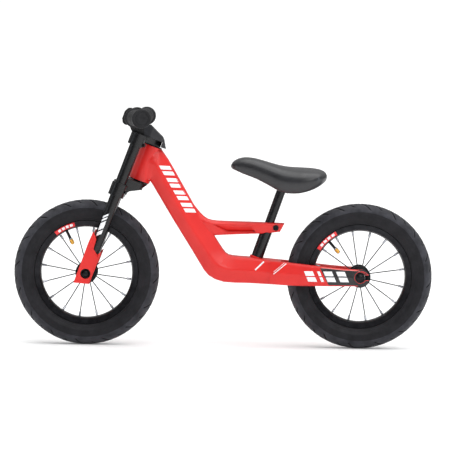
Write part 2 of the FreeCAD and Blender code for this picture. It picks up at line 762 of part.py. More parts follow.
def tyre_turn(outer_edge, inner_edge, bead, bead_out, bead_in):
    """The tyre's section, closed by a bead at each side, turned about the axle."""
    edges = [outer_edge, inner_edge]
    outer_ends, inner_ends = [
        [edge.valueAt(edge.FirstParameter), edge.valueAt(edge.LastParameter)] for edge in edges
    ]
    for outside in outer_ends:
        sign = 1 if outside.y > 0 else -1
        inside = next(end for end in inner_ends if end.y * sign > 0)
        foot = [outside, Vector(bead, sign * bead_out, 0), Vector(bead, sign * bead_in, 0), inside]
        edges += [Part.makeLine(foot[i], foot[i + 1]) for i in range(3)]
    face = Part.Face(Part.Wire(Part.__sortEdges__(edges)))
    return face.revolve(Vector(), AXIS_Y, 360)


def rim(end, place, valve_angle):
    floor = S.rim_inner_radius + S.rim_floor
    base = S.rim_base_half_width
    wide = S.rim_half_width
    seat = S.bead_seat_radius
    half = [
        (S.rim_inner_radius, base), (S.rim_inner_radius + 3, wide - 1.5), (S.rim_edge_radius, wide),
        (S.rim_edge_radius, wide - S.rim_wall), (seat, wide - S.rim_wall), (seat, base - 1),
        (floor, base - 2.5),
    ]
    corners = half + [(r, -y) for r, y in reversed(half)]
    body = revolved(f"{end}_rim_section", "XY_Plane", corners, place)
    hole = cylinder(f"{end}_rim_valve_hole", S.valve_hole_radius, mm(30),
                    valve_place(float(place.Base.x), valve_angle, 85))
    return cut(f"{end}_rim", body, hole)


def valve_place(x, valve_angle, distance):
    """A placement whose Z points radially out through the valve, at a distance from the axle."""
    turn = Rotation(AXIS_Y, -valve_angle)
    return Placement(Vector(x, 0, AXLE_Z), turn).multiply(at(0, 0, distance))


def valve(end, x, valve_angle):
    stem_start = float(S.valve_stem_end)
    stem_length = S.tube_ring_radius - S.tube_section_radius - S.valve_stem_end - 0.3
    keep(cylinder(f"{end}_valve_stem", S.valve_stem_radius, stem_length,
                  valve_place(x, valve_angle, stem_start)), f"{end}_valve_stem")
    cap_length = S.valve_stem_end - S.valve_cap_end - S.contact_gap
    keep(cylinder(f"{end}_valve_cap", S.valve_cap_radius, cap_length,
                  valve_place(x, valve_angle, S.valve_cap_end)), f"{end}_valve_cap")


def hub(end, place):
    """A turned hub shell with a flange at each side and a pocket for each bearing."""
    pocket = S.bearing_radius + S.press_gap
    bore = S.axle_radius + 2
    pocket_floor = S.hub_half_width - S.bearing_width - 0.5
    half = [
        (S.hub_radius - 2, mm(12)), (S.hub_radius, S.flange_outer - S.flange_width - 2),
        (S.flange_radius, S.flange_outer - S.flange_width), (S.flange_radius, S.flange_outer),
        (S.hub_radius + 2, S.hub_half_width), (pocket, S.hub_half_width),
        (pocket, pocket_floor), (bore, pocket_floor),
    ]
    outline = half + [(r, -y) for r, y in reversed(half)]
    body = revolved(f"{end}_hub_shell", "XY_Plane", outline, place)
    keep(body, f"{end}_hub")
    ring_low = S.hub_half_width - S.bearing_width - 0.4
    ring_high = S.hub_half_width - 0.4
    ring = [(S.axle_radius + S.running_gap, ring_low), (S.bearing_radius, ring_low),
            (S.bearing_radius, ring_high), (S.axle_radius + S.running_gap, ring_high)]
    bearing = revolved(f"{end}_bearing", "XY_Plane", ring, place)
    keep(pair(f"{end}_hub_bearings", bearing), f"{end}_hub_bearings")


def spokes(end, x, first):
    """Straight radial spokes, alternately from the left and right flange, with nipples at the rim."""
    wires = []
    nipples = []
    centre = Vector(x, 0, AXLE_Z)
    count = int(float(S.spoke_count))
    flange_middle = float(S.flange_outer) - float(S.flange_width) / 2
    for number in range(count):
        angle = first + 2 * math.pi * number / count
        out = Vector(math.cos(angle), 0, math.sin(angle))
        side = -1 if number % 2 else 1
        start = centre + out * (float(S.flange_radius) + float(S.contact_gap)) + Vector(0, side * flange_middle, 0)
        finish = centre + out * (float(S.rim_inner_radius) - 0.1)
        finish.y = side * float(S.spoke_rim_offset)
        along = (finish - start).normalize()
        joint = finish - along * float(S.nipple_length)
        wires.append(rod_shape(float(S.spoke_radius), start + along * 0.4, joint))
        nipples.append(rod_shape(float(S.nipple_radius), joint + along * 0.05, finish - along))
    keep(made(f"{end}_spokes", Part.makeCompound(wires)), f"{end}_spokes")
    keep(made(f"{end}_spoke_nipples", Part.makeCompound(nipples)), f"{end}_spoke_nipples")


wheel("front", -WHEELBASE / 2, float(S.front_spoke_angle), float(S.front_valve_angle))
wheel("rear", WHEELBASE / 2, float(S.rear_spoke_angle), float(S.rear_valve_angle))


# ---- axles and their fittings ----

def axle_set(end, x, inner, clamped):
    """An axle with a spacer, washer and domed nut at each side of the hub.

    inner is where the spacers end, against the dropouts; clamped is where the washers start.
    """
    washer_end = clamped + S.washer_thickness
    axle_end = washer_end + S.nut_height
    keep(cross_rod(f"{end}_axle", S.axle_radius, axle_end, x, AXLE_Z), f"{end}_axle")
    start = S.hub_half_width + 0.1
    spacer = cut(
        f"{end}_spacer",
        cylinder(f"{end}_spacer_outer", S.spacer_radius, inner - start, at(x, start, AXLE_Z, ALONG_Y)),
        cylinder(f"{end}_spacer_bore", S.axle_radius + S.press_gap, inner - start, at(x, start, AXLE_Z, ALONG_Y)),
    )
    keep(pair(f"{end}_axle_spacers", spacer), f"{end}_axle_spacers")
    washer = cut(
        f"{end}_washer",
        cylinder(f"{end}_washer_disc", S.washer_radius, S.washer_thickness - 0.04,
                 at(x, clamped + float(S.press_gap), AXLE_Z, ALONG_Y)),
        cylinder(f"{end}_washer_bore", S.axle_radius + S.press_gap, S.washer_thickness,
                 at(x, clamped, AXLE_Z, ALONG_Y)),
    )
    keep(pair(f"{end}_axle_washers", washer), f"{end}_axle_washers")
    hexagon = bind(doc.addObject("Part::Prism", f"{end}_nut_hex"), Polygon=6,
                   Circumradius=S.nut_circumradius, Height=S.nut_height)
    hexagon.Placement = at(x, washer_end, AXLE_Z, ALONG_Y)
    dome = bind(doc.addObject("Part::Ellipsoid", f"{end}_nut_dome"), Radius1=S.nut_dome_height,
                Radius2=S.nut_circumradius * 0.86, Radius3=S.nut_circumradius * 0.86, Angle1=0)
    dome.Placement = at(x, axle_end, AXLE_Z, ALONG_Y)
    bore = cylinder(f"{end}_nut_bore", S.axle_radius + S.press_gap, S.nut_height + 0.1,
                    at(x, washer_end, AXLE_Z, ALONG_Y))
    nut = cut(f"{end}_nut", fuse(f"{end}_nut_solid", hexagon, dome), bore)
    keep(pair(f"{end}_axle_nuts", nut), f"{end}_axle_nuts")


axle_set("front", -WHEELBASE / 2, S.foot_inner - 0.02, S.foot_inner + S.foot_thickness)
axle_set("rear", WHEELBASE / 2, S.stay_inner - 0.02, S.stay_outer - S.dropout_recess)


# ---- fork trim ----

def fork_guard(side_name, side):
    """A coloured shell over the outer face of a leg's foot, open around the axle nut."""
    ahead = -S.fork_offset
    depth = S.guard_outer - S.guard_inner
    corners = [
        (ahead - 16.5, mm(-26)), (ahead + 12, mm(-18)), (ahead + 12, mm(40)),
        (ahead + 7, mm(46)), (ahead - 3, mm(54)), (ahead - 4.5, mm(74)),
        (ahead - 8, mm(79)), (ahead - 16, mm(87)), (ahead - 17.5, mm(64)),
    ]
    start = S.guard_inner if side > 0 else -S.guard_outer
    # the sketch's own depth axis runs towards -Y
    blank = padded(f"guard_{side_name}_blank", "XZ_Plane", corners, depth, STEER,
                   offset=-float(start) - float(depth))
    leg_room = cylinder(f"guard_{side_name}_leg_room", S.leg_radius + 0.15, mm(140),
                        STEER.multiply(at(ahead, side * float(S.leg_spread), -40)))
    nut_room = cylinder(f"guard_{side_name}_nut_room", S.washer_radius + 1, S.guard_outer + 10,
                        STEER.multiply(at(ahead, 0, 0, ALONG_Y if side > 0 else ALONG_Y.inverted())))
    near = float(S.guard_inner) - 0.5 if side > 0 else -float(S.guard_inner) - 8
    hollow = box(f"guard_{side_name}_hollow", mm(22), mm(8.5), mm(34),
                 STEER.multiply(at(ahead - 12, near, -16)))
    keep(cut(f"fork_guard_{side_name}", blank, leg_room, nut_room, hollow), f"fork_guard_{side_name}")


def top_cover():
    """The wedge that hides the crown and the steerer's end."""
    half = S.cover_half_width
    corners = [
        (mm(-19), mm(334)), (mm(-30), mm(329)),
        (mm(-24), S.crown_up_top + 0.4),
        (mm(17), S.crown_up_top + 0.4), (mm(17), mm(298.5)),
        (mm(28), mm(298.5)), (mm(18), mm(315)), (mm(14), mm(319)),
    ]
    wedge = padded("top_cover_wedge", "XZ_Plane", corners, half * 2, STEER, both_ways=True)
    waist = padded(
        "top_cover_waist", "XY_Plane",
        [(mm(-31), -half + 12), (mm(-12), -half), (mm(14), -half), (mm(29), -half + 14),
         (mm(29), half - 14), (mm(14), half), (mm(-12), half), (mm(-31), half - 12)],
        mm(50), STEER, offset=290,
    )
    shaped = doc.addObject("Part::MultiCommon", "top_cover_shaped")
    shaped.Shapes = [wedge, waist]
    bolt_room = cylinder("top_cover_bolt_room", S.steerer_radius + 2, mm(16),
                         STEER.multiply(at(0, 0, S.crown_up_top - 4)))
    stem_room = box("top_cover_stem_room", mm(49), S.clamp_half_width * 2 + 1, mm(60),
                    STEER.multiply(at(-60, -S.clamp_half_width - 0.5, S.crown_up_face)))
    keep(cut("top_cover", shaped, bolt_room, stem_room), "top_cover")


def top_cap_bolt():
    """The cap and bolt that hold the crown down on the steerer."""
    cap = cylinder("steerer_cap_disc", S.steerer_radius + 1.5, mm(3),
                   STEER.multiply(at(0, 0, S.steerer_top + S.contact_gap)))
    shank = cylinder("steerer_cap_shank", mm(3), mm(30),
                     STEER.multiply(at(0, 0, float(S.steerer_top) - 28)))
    keep(fuse("steerer_cap", cap, shank), "steerer_cap")


def crown_bolts(name, height):
    """A pinch bolt behind each leg, its head on the back of the collar."""
    bolts = []
    for side_name, side in SIDES.items():
        spot = at(-FORK_OFFSET + float(S.collar_radius), side * (float(S.leg_spread) + 6), height,
                  Rotation(AXIS_Y, 90))
        bolts.append(cylinder(f"{name}_{side_name}", S.crown_bolt_radius + 1, mm(3), STEER.multiply(spot)))
    both = doc.addObject("Part::Compound", name)
    both.Links = bolts
    keep(both, name)


fork_guard("left", -1)
fork_guard("right", 1)
top_cover()
top_cap_bolt()
crown_bolts("lower_crown_bolts", (float(S.crown_low_bottom) + float(S.crown_low_top)) / 2)
crown_bolts("upper_crown_bolts", float(S.crown_up_bottom) + 6)


# ---- handlebar ----

def bar_path():
    """The bar's centre line: straight through the clamp, then swept back at each side."""
    sweep = math.radians(float(S.bar_sweep))
    bend = float(S.bar_bend_radius)
    straight = float(S.bar_straight)
    back = Vector(math.sin(sweep), math.cos(sweep), 0)
    bend_start = Vector(0, straight, 0)
    bend_middle = Vector(bend * (1 - math.cos(sweep / 2)), straight + bend * math.sin(sweep / 2), 0)
    bend_end = Vector(bend * (1 - math.cos(sweep)), straight + bend * math.sin(sweep), 0)
    tail = (float(S.bar_half_span) - bend_end.y) / back.y
    return bend_start, bend_middle, bend_end, back, tail


def mirrored(point):
    return Vector(point.x, -point.y, point.z)


def bar_centre():
    return STEER.multVec(Vector(-float(S.bar_ahead), 0, float(S.bar_up)))


def bar_shape():
    start, middle, end, back, tail = bar_path()
    tip = end + back * tail
    spine = Part.Wire([
        Part.makeLine(mirrored(tip), mirrored(end)),
        Part.Arc(mirrored(end), mirrored(middle), mirrored(start)).toShape(),
        Part.makeLine(mirrored(start), start),
        Part.Arc(start, middle, end).toShape(),
        Part.makeLine(end, tip),
    ])
    tubes = []
    for radius in (float(S.bar_radius), float(S.bar_radius) - float(S.bar_wall)):
        ring = Part.Wire(Part.makeCircle(radius, mirrored(tip), mirrored(back)))
        tubes.append(spine.makePipeShell([ring], True, True))
    hollow = tubes[0].cut(tubes[1])
    # the bar is turned down under each grip, so its full size ends at the grip's mouth
    for turn in (lambda point: point, mirrored):
        mouth = end + back * float(S.bar_clamp_length)
        bare = rod_shape(float(S.bar_radius) + 2, turn(mouth), turn(tip + back * 2))
        core = rod_shape(float(S.bar_radius) - float(S.bar_step), turn(end), turn(tip + back * 2))
        hollow = hollow.cut(bare.cut(core))
    return hollow


def grip(side_name, side):
    start, middle, end, back, tail = bar_path()
    mouth = end + back * (tail + float(S.grip_end_width) - 4 - float(S.grip_length))
    way = back
    if side < 0:
        mouth = mirrored(mouth)
        way = Vector(back.x, -back.y, 0)
    flange = S.grip_flange_radius
    end_flange = S.grip_length - S.grip_end_width
    bore = S.bar_radius - S.bar_step + S.grip_bore_gap
    depth = S.grip_length - S.grip_end_width + 4.1
    corners = [
        (bore, mm(0)), (flange - 0.6, mm(0)), (flange, mm(1.5)),
        (flange, S.grip_flange_width - 1.5), (flange - 1, S.grip_flange_width),
        (S.grip_radius, S.grip_flange_width + 3), (S.grip_radius, end_flange - 2),
        (flange - 1, end_flange), (flange, end_flange + 1.5), (flange, S.grip_length - 2),
        (flange - 2, S.grip_length), (mm(0), S.grip_length), (mm(0), depth), (bore, depth),
    ]
    place = Placement(bar_centre() + mouth, Rotation(AXIS_Z, way))
    keep(revolved(f"grip_{side_name}", "XZ_Plane", corners, place), f"grip_{side_name}")


keep(made("handlebar", bar_shape(), Placement(bar_centre(), Rotation())), "handlebar")
for side_name, side in SIDES.items():
    grip(side_name, side)


# ---- saddle ----

def seat_post():
    length = S.post_exposed + S.post_insert
    place = SEAT.multiply(at(0, 0, -float(S.post_insert)))
    keep(cut("seat_post", cylinder("seat_post_outer", S.post_radius, length, place),
             cylinder("seat_post_inner", S.post_radius - S.post_wall, length, place)), "seat_post")


# x, half width, crown height, height of the skirt's edge
SADDLE_STATIONS = [
    (12.5, 4, 377, 373),
    (15, 13, 382.5, 371),
    (23, 21, 390, 366.5),
    (40, 27, 395.5, 359.5),
    (64, 33, 393.5, 351),
    (90, 41, 386.5, 338.5),
    (112, 50, 380.5, 327),
    (134, 58, 377, 322),
    (158, 64, 376, 323.5),
    (180, 65, 375, 330),
    (197, 58, 372.5, 338.5),
    (208, 43, 368, 346.5),
    (213, 22, 361, 353.5),
]
TUCK = 38  # degrees below the widest line at which the pad's side ends, at the skirt's edge


def pad_section(x, half_width, crown, skirt):
    """An egg-shaped outline across the saddle, widest below its middle and tucked in at the skirt."""
    waist = between(skirt, crown, 0.42)
    spots = []
    steps = 18
    for i in range(steps + 1):
        angle = math.radians(between(-TUCK, 180 + TUCK, i / steps))
        level = math.sin(angle)
        if level > 0:
            z = waist + (crown - waist) * level**0.9
        else:
            z = waist + (waist - skirt) * level / math.sin(math.radians(TUCK))
        y = half_width * math.copysign(abs(math.cos(angle)) ** 0.8, math.cos(angle))
        spots.append(Vector(x, y, z))
    return Part.makePolygon(spots + [spots[0]])


def plate_section(x, half_width, crown, skirt, gap):
    """The hard plate let into the pad's underside; the gap is the room left round it."""
    wide = half_width * 0.74 - 3 + gap
    low = skirt + 1.5 - 4 * gap
    high = skirt + 8 + gap
    corners = [(wide, low), (wide - 2, high), (2 - wide, high), (-wide, low)]
    return Part.makePolygon([Vector(x, y, z) for y, z in corners + corners[:1]])


def saddle():
    stations = smoothed(SADDLE_STATIONS, 2)
    inner = stations[4:-3]
    top = float(S.post_exposed)
    socket = rod_shape(float(S.post_radius) + 0.03, on_seat_axis(0), on_seat_axis(top + 0.05))
    boss = rod_shape(float(S.post_radius) + 5, on_seat_axis(top - 11), on_seat_axis(top + 4))
    boss_room = rod_shape(float(S.post_radius) + 5.5, on_seat_axis(0), on_seat_axis(top + 4.5))
    pad = loft([pad_section(*station) for station in stations])
    pad = pad.cut(loft([plate_section(*station, 0.4) for station in inner])).cut(boss_room)
    keep(made("saddle_pad", pad), "saddle_pad")
    plate = loft([plate_section(*station, 0) for station in inner[1:-1]])
    keep(made("saddle_base", plate.fuse(boss).cut(socket)), "saddle_base")


seat_post()
saddle()


# ---- check and write ----

doc.recompute()
for thing in doc.Objects:
    if "Invalid" in thing.State or "Error" in thing.State:
        raise RuntimeError(f"{thing.Label} did not compute: {thing.State}")
for node in NODES:
    shape = node.Shape
    if shape.isNull() or not shape.isValid():
        raise RuntimeError(f"{node.Label} has no valid shape")
    shape.exportStep(os.path.join("parts", node.Label + ".step"))
    print(node.Label, len(shape.Solids), round(shape.Volume / 1000, 1), "cm3")
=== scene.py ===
import json
import math

import bmesh
import bpy
from mathutils import Matrix, Vector
from mathutils.bvhtree import BVHTree


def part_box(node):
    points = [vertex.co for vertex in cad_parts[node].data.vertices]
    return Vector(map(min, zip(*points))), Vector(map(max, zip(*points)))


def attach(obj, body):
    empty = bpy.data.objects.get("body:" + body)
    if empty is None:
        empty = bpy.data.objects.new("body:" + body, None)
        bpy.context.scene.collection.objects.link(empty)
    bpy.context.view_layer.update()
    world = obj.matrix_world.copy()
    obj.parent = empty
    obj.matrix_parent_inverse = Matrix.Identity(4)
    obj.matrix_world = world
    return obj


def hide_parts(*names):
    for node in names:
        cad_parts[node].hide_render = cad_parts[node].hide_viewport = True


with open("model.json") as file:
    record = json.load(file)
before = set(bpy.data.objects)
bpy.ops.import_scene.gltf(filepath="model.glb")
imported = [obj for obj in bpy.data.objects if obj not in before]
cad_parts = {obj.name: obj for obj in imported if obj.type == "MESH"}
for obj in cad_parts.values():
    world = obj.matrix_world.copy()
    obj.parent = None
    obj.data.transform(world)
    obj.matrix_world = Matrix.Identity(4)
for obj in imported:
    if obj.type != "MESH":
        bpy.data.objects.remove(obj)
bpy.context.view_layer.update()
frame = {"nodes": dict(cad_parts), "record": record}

# A child's balance bike. X runs to the rear, Y to the rider's right, Z up; the bike faces -X.
# Blender works in metres. Sizes and places below are in millimetres, scaled by MM, unless they say otherwise.

MM = 0.001
NODES = frame["nodes"]
RECORD = frame["record"]
AXIS_Y = Vector((0, 1, 0))


# ---- the frame's own places ----

def centre(node):
    """The middle of a CAD piece's box."""
    low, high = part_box(node)
    return (low + high) / 2


def body_holding(node):
    """The body that holds a CAD piece, from the record."""
    return next(body for body, nodes in RECORD["behaviour"]["bodies"].items() if node in nodes)


def slot_of(node):
    """A CAD piece's material slot, from the record."""
    return next(part["material_slot"] for part in RECORD["subparts"] if part["node"] == node)


def mount(name):
    """A mount's place and its axis, from the record."""
    row = next(row for row in RECORD["mounts"] if row["name"] == name)
    return Vector(row["pos_m"]), Vector(row["axis"])


def joint_axis(name):
    """A joint's axis, from the record."""
    return Vector(next(joint["axis"] for joint in RECORD["behaviour"]["joints"] if joint["name"] == name))


class Wheel:
    """Where one wheel is and how large it is."""

    def __init__(self, end):
        low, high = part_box(f"{end}_tyre")
        self.end = end
        self.body = f"{end}_wheel"
        self.centre = (low + high) / 2
        self.radius = (high.z - low.z) / 2

    def point(self, radius, across, angle):
        """A point at a radius and an angle from +X towards +Z, across the wheel."""
        return self.centre + Vector((radius * math.cos(angle), across, radius * math.sin(angle)))


WHEELS = [Wheel("front"), Wheel("rear")]
SIDES = (("left", -1), ("right", 1))


# ---- materials ----

class Finish:
    """A node material. Constant values go straight onto the shader's sockets."""

    COLOUR_SPAN = (0.35, 0.65)  # the part of a noise's range over which the colour changes
    ROUGHNESS_SPAN = (0.3, 0.7)

    def __init__(self, name, **sockets):
        self.material = bpy.data.materials.new(name)
        self.material.use_nodes = True
        self.tree = self.material.node_tree
        self.shader = self.tree.nodes["Principled BSDF"]
        self.place = self.add("ShaderNodeTexCoord").outputs["Object"]
        for socket, value in sockets.items():
            self.shader.inputs[socket.replace("_", " ")].default_value = value

    def add(self, kind, **settings):
        node = self.tree.nodes.new(kind)
        for name, value in settings.items():
            setattr(node, name, value)
        return node

    def join(self, source, target):
        self.tree.links.new(source, target)

    def noise(self, scale, detail, roughness=0.55):
        """Noise in the piece's own coordinates; scale is in features a metre."""
        node = self.add("ShaderNodeTexNoise")
        node.inputs["Scale"].default_value = scale
        node.inputs["Detail"].default_value = detail
        node.inputs["Roughness"].default_value = roughness
        self.join(self.place, node.inputs["Vector"])
        return node.outputs["Fac"]

    def cells(self, scale):
        """The distance from the middles of scattered cells, as in a fine grain."""
        node = self.add("ShaderNodeTexVoronoi", feature="F1")
        node.inputs["Scale"].default_value = scale
        self.join(self.place, node.inputs["Vector"])
        return node.outputs["Distance"]

    def ramp(self, source, low, high, low_value, high_value):
        """Maps a source value onto two colours or two numbers."""
        if isinstance(low_value, (int, float)):
            node = self.add("ShaderNodeMapRange", clamp=True)
            ends = {"From Min": low, "From Max": high, "To Min": low_value, "To Max": high_value}
            for socket, value in ends.items():
                node.inputs[socket].default_value = value
            self.join(source, node.inputs["Value"])
            return node.outputs["Result"]
        node = self.add("ShaderNodeValToRGB")
        first, last = node.color_ramp.elements
        first.position, last.position = low, high
        first.color, last.color = (*low_value, 1), (*high_value, 1)
        self.join(source, node.inputs["Fac"])
        return node.outputs["Color"]

    def colour(self, source, dark, light):
        self.join(self.ramp(source, *self.COLOUR_SPAN, dark, light), self.shader.inputs["Base Color"])

    def roughness(self, source, smooth, rough):
        self.join(self.ramp(source, *self.ROUGHNESS_SPAN, smooth, rough), self.shader.inputs["Roughness"])

    def bump(self, *layers):
        """Height layers given as (source, depth in millimetres)."""
        normal = None
        for source, depth in layers:
            node = self.add("ShaderNodeBump")
            node.inputs["Strength"].default_value = 1.0
            node.inputs["Distance"].default_value = depth * MM
            self.join(source, node.inputs["Height"])
            if normal:
                self.join(normal, node.inputs["Normal"])
            normal = node.outputs["Normal"]
        self.join(normal, self.shader.inputs["Normal"])


def paint(name, dark, light, roughness, coat):
    """Powder coat: a faint orange peel under a thin clear coat, with slight drifts of colour."""
    finish = Finish(name, Coat_Weight=coat, Coat_Roughness=0.12, Specular_IOR_Level=0.36)
    finish.colour(finish.noise(14, 3), dark, light)
    finish.roughness(finish.noise(60, 5), roughness - 0.05, roughness + 0.07)
    finish.bump((finish.noise(420, 2), 0.035), (finish.noise(2600, 2), 0.006))
    return finish.material


def moulded(name, dark, light, roughness, grain, depth, specular):
    """Moulded plastic or foam skin. The grain is in cells a metre, and its depth in millimetres."""
    finish = Finish(name, Specular_IOR_Level=specular)
    finish.colour(finish.noise(45, 5), dark, light)
    finish.roughness(finish.noise(120, 4), roughness - 0.06, roughness + 0.08)
    finish.bump((finish.cells(grain), depth), (finish.noise(grain * 2.2, 2), depth * 0.5))
    return finish.material


def rubber(name, dark, light, roughness, specular=0.14):
    """Vulcanised rubber: dull, with a dusty bloom and a fine mould texture."""
    finish = Finish(name, Specular_IOR_Level=specular, Sheen_Weight=0.06, Sheen_Roughness=0.6)
    finish.colour(finish.noise(38, 7, 0.65), dark, light)
    finish.roughness(finish.noise(90, 5), roughness - 0.08, roughness + 0.1)
    finish.bump((finish.noise(1400, 3), 0.06), (finish.noise(160, 4), 0.2))
    return finish.material


def metal(name, dark, light, roughness, coat=0.0):
    """Bare, plated, blackened or anodised metal with fine worked marks."""
    finish = Finish(name, Metallic=1.0, Coat_Weight=coat, Coat_Roughness=0.16)
    finish.colour(finish.noise(70, 5), dark, light)
    finish.roughness(finish.noise(500, 4, 0.6), roughness - 0.06, roughness + 0.1)
    finish.bump((finish.noise(1800, 3, 0.6), 0.012))
    return finish.material


def vinyl(name, dark, light):
    """Printed film under a thin clear layer."""
    finish = Finish(name, Coat_Weight=0.35, Coat_Roughness=0.2, Specular_IOR_Level=0.4)
    finish.colour(finish.noise(260, 4), dark, light)
    finish.roughness(finish.noise(300, 3), 0.34, 0.46)
    finish.bump((finish.noise(900, 2), 0.01))
    return finish.material


RED = paint("red_powder_coat", (0.63, 0.013, 0.011), (0.70, 0.019, 0.015), 0.38, 0.14)
BLACK = paint("black_powder_coat", (0.002, 0.002, 0.0025), (0.004, 0.004, 0.005), 0.25, 0.08)
PLASTIC = moulded(
    "grained_black_plastic", (0.019, 0.019, 0.022), (0.028, 0.028, 0.032), 0.44, 2400, 0.02, 0.4
)
SADDLE = moulded("saddle_skin", (0.012, 0.012, 0.014), (0.017, 0.017, 0.020), 0.33, 1500, 0.004, 0.55)
SIDEWALL = rubber("tyre_sidewall_rubber", (0.007, 0.0068, 0.0085), (0.015, 0.0145, 0.0175), 0.46)
TREAD = rubber("tyre_tread_rubber", (0.017, 0.017, 0.021), (0.042, 0.042, 0.050), 0.62)
# painted shade: a darker rubber for the floors of the sipes and the groove beside the rim
PAINTED_SHADE_RUBBER = rubber("tyre_groove_painted_shade", (0.004, 0.004, 0.005), (0.008, 0.008, 0.009), 0.8, 0.1)
GRIP = rubber("grip_rubber", (0.011, 0.011, 0.012), (0.018, 0.018, 0.020), 0.6)
TUBE = rubber("inner_tube_rubber", (0.012, 0.012, 0.012), (0.02, 0.02, 0.02), 0.5)
RIM = metal("anodised_rim", (0.012, 0.012, 0.014), (0.022, 0.022, 0.025), 0.34, coat=0.12)
HUB = metal("anodised_hub", (0.010, 0.010, 0.011), (0.017, 0.017, 0.018), 0.42)
DARK_STEEL = metal("blackened_steel", (0.016, 0.016, 0.017), (0.030, 0.030, 0.032), 0.34)
PLAIN_STEEL = metal("plated_steel", (0.46, 0.46, 0.47), (0.58, 0.58, 0.59), 0.28)
SPOKE = metal("dark_spoke_steel", (0.050, 0.050, 0.054), (0.085, 0.085, 0.09), 0.34)
NIPPLE = metal("nipple_alloy", (0.42, 0.43, 0.47), (0.55, 0.56, 0.60), 0.36)
BRASS = metal("brass", (0.78, 0.40, 0.07), (0.90, 0.50, 0.11), 0.26)
WHITE_FILM = vinyl("white_film", (0.84, 0.85, 0.87), (0.90, 0.91, 0.93))
BLACK_FILM = vinyl("black_film", (0.006, 0.006, 0.007), (0.010, 0.010, 0.011))
RED_FILM = vinyl("red_film", (0.74, 0.016, 0.020), (0.82, 0.026, 0.030))
# painted highlight: a light red film that stands for the light on the stay's upper edge
EDGE_HIGHLIGHT_FILM = vinyl("painted_edge_highlight_film", (0.86, 0.24, 0.22), (0.92, 0.32, 0.29))

# the finish of each of the record's material slots, and the pieces that differ from their slot
SLOT_FINISH = {
    "frame_paint": RED, "black_paint": BLACK, "black_steel": DARK_STEEL, "plain_steel": PLAIN_STEEL,
    "headset_alloy": HUB, "hard_plastic": PLASTIC, "saddle_foam": SADDLE, "grip_rubber": GRIP,
    "tyre_rubber": SIDEWALL, "tube_rubber": TUBE, "rim_alloy": RIM, "spoke_steel": SPOKE,
    "nipple_alloy": NIPPLE, "valve_brass": BRASS,
}
OWN_FINISH = {}
for end in ("front", "rear"):
    OWN_FINISH[f"{end}_hub"] = HUB
    OWN_FINISH[f"{end}_valve_stem"] = GRIP
    OWN_FINISH[f"{end}_axle_washers"] = DARK_STEEL
    OWN_FINISH[f"{end}_axle_spacers"] = DARK_STEEL


def finish_for(node):
    return OWN_FINISH.get(node, SLOT_FINISH[slot_of(node)])


# ---- pieces ----

def new_piece(name, points, faces, finish, body):
    """A mesh piece with points in metres, riding on a body."""
    mesh = bpy.data.meshes.new(name)
    mesh.from_pydata([tuple(point) for point in points], [], faces)
    mesh.validate()
    for face in mesh.polygons:
        face.use_smooth = True
    mesh.materials.append(finish)
    piece = bpy.data.objects.new(name, mesh)
    bpy.context.scene.collection.objects.link(piece)
    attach(piece, body)
    return piece


def grid_faces(rows, columns, wrap_rows=False, wrap_columns=False):
    """Quads over points stored row by row."""
    faces = []
    for row in range(rows if wrap_rows else rows - 1):
        for column in range(columns if wrap_columns else columns - 1):
            along = (column + 1) % columns
            up = (row + 1) % rows
            faces.append((row * columns + column, row * columns + along,
                          up * columns + along, up * columns + column))
    return faces


def sheet_faces(rows, columns):
    """The front of a thin closed sheet, then its back and edges, over two grids of points, front and back."""
    front = grid_faces(rows, columns)
    count = rows * columns
    back = [tuple(count + index for index in reversed(face)) for face in front]
    left = [row * columns for row in range(rows)]
    right = [index + columns - 1 for index in left]
    last = list(range(left[-1], count))
    border = list(range(columns)) + right[1:] + last[-2::-1] + left[-2:0:-1]
    skirt = [(first, count + first, count + second, second)
             for first, second in zip(border, border[1:] + border[:1])]
    return front, back + skirt


def outward(piece):
    """Turns all of a closed piece's faces outwards."""
    mesh = bmesh.new()
    mesh.from_mesh(piece.data)
    bmesh.ops.recalc_face_normals(mesh, faces=mesh.faces)
    mesh.to_mesh(piece.data)
    mesh.free()
    return piece


def apply_modifiers(piece):
    """Turns the modifiers' result into the piece's own mesh."""
    graph = bpy.context.evaluated_depsgraph_get()
    result = bpy.data.meshes.new_from_object(piece.evaluated_get(graph))
    piece.modifiers.clear()
    piece.data = result


# ---- pieces with eased edges ----

# width of the rounded edges of each CAD piece that gets them
EASED = {
    "frame": 0.9, "fork_guard_left": 0.9, "fork_guard_right": 0.9, "top_cover": 1.4,
    "upper_crown": 0.9, "lower_crown": 1.0, "stem_cap": 0.8,
    "front_rim": 0.7, "rear_rim": 0.7,
}
EDGE_SEGMENTS = 2
EDGE_ANGLE = math.radians(32)  # edges sharper than this are rounded
FLAT_ANGLE = math.radians(0.8)  # faces within this of each other are joined first
WELD = 0.01
FACET_WEIGHT = 80  # of 100: how much more the large faces count in the shading than the small ones

ARM_FACET = [(-22.0, 255.0), (8.0, 240.5), (66.0, 241.0), (54.0, 254.0)]  # x and z of its corners
ARM_FACET_DEPTH = 6.5  # from the mid-plane to the facet's lower edge
ARM_FACET_SLOPE = 0.82  # how far the facet comes out for each millimetre up
ARM_WEDGE_REACH = 32.0  # past the outside of the arm


def arm_wedges():
    """Two wedges that cut the deep, downward-facing facet into the flanks of the frame's arm."""
    base = ARM_FACET[1][1]
    points = []
    for side in (-1, 1):
        points += [Vector((x, side * (ARM_FACET_DEPTH + (z - base) * ARM_FACET_SLOPE), z)) * MM
                   for x, z in ARM_FACET]
        points += [Vector((x, side * ARM_WEDGE_REACH, z)) * MM for x, z in ARM_FACET]
    faces = []
    for first in (0, 8):
        faces += [tuple(first + i for i in (0, 1, 2, 3)), tuple(first + i for i in (7, 6, 5, 4))]
        faces += [tuple(first + i for i in (k, (k + 1) % 4, (k + 1) % 4 + 4, k + 4)) for k in range(4)]
    data = bpy.data.meshes.new("arm_wedges")
    data.from_pydata(points, [], faces)
    return outward(bpy.data.objects.new("arm_wedges", data))


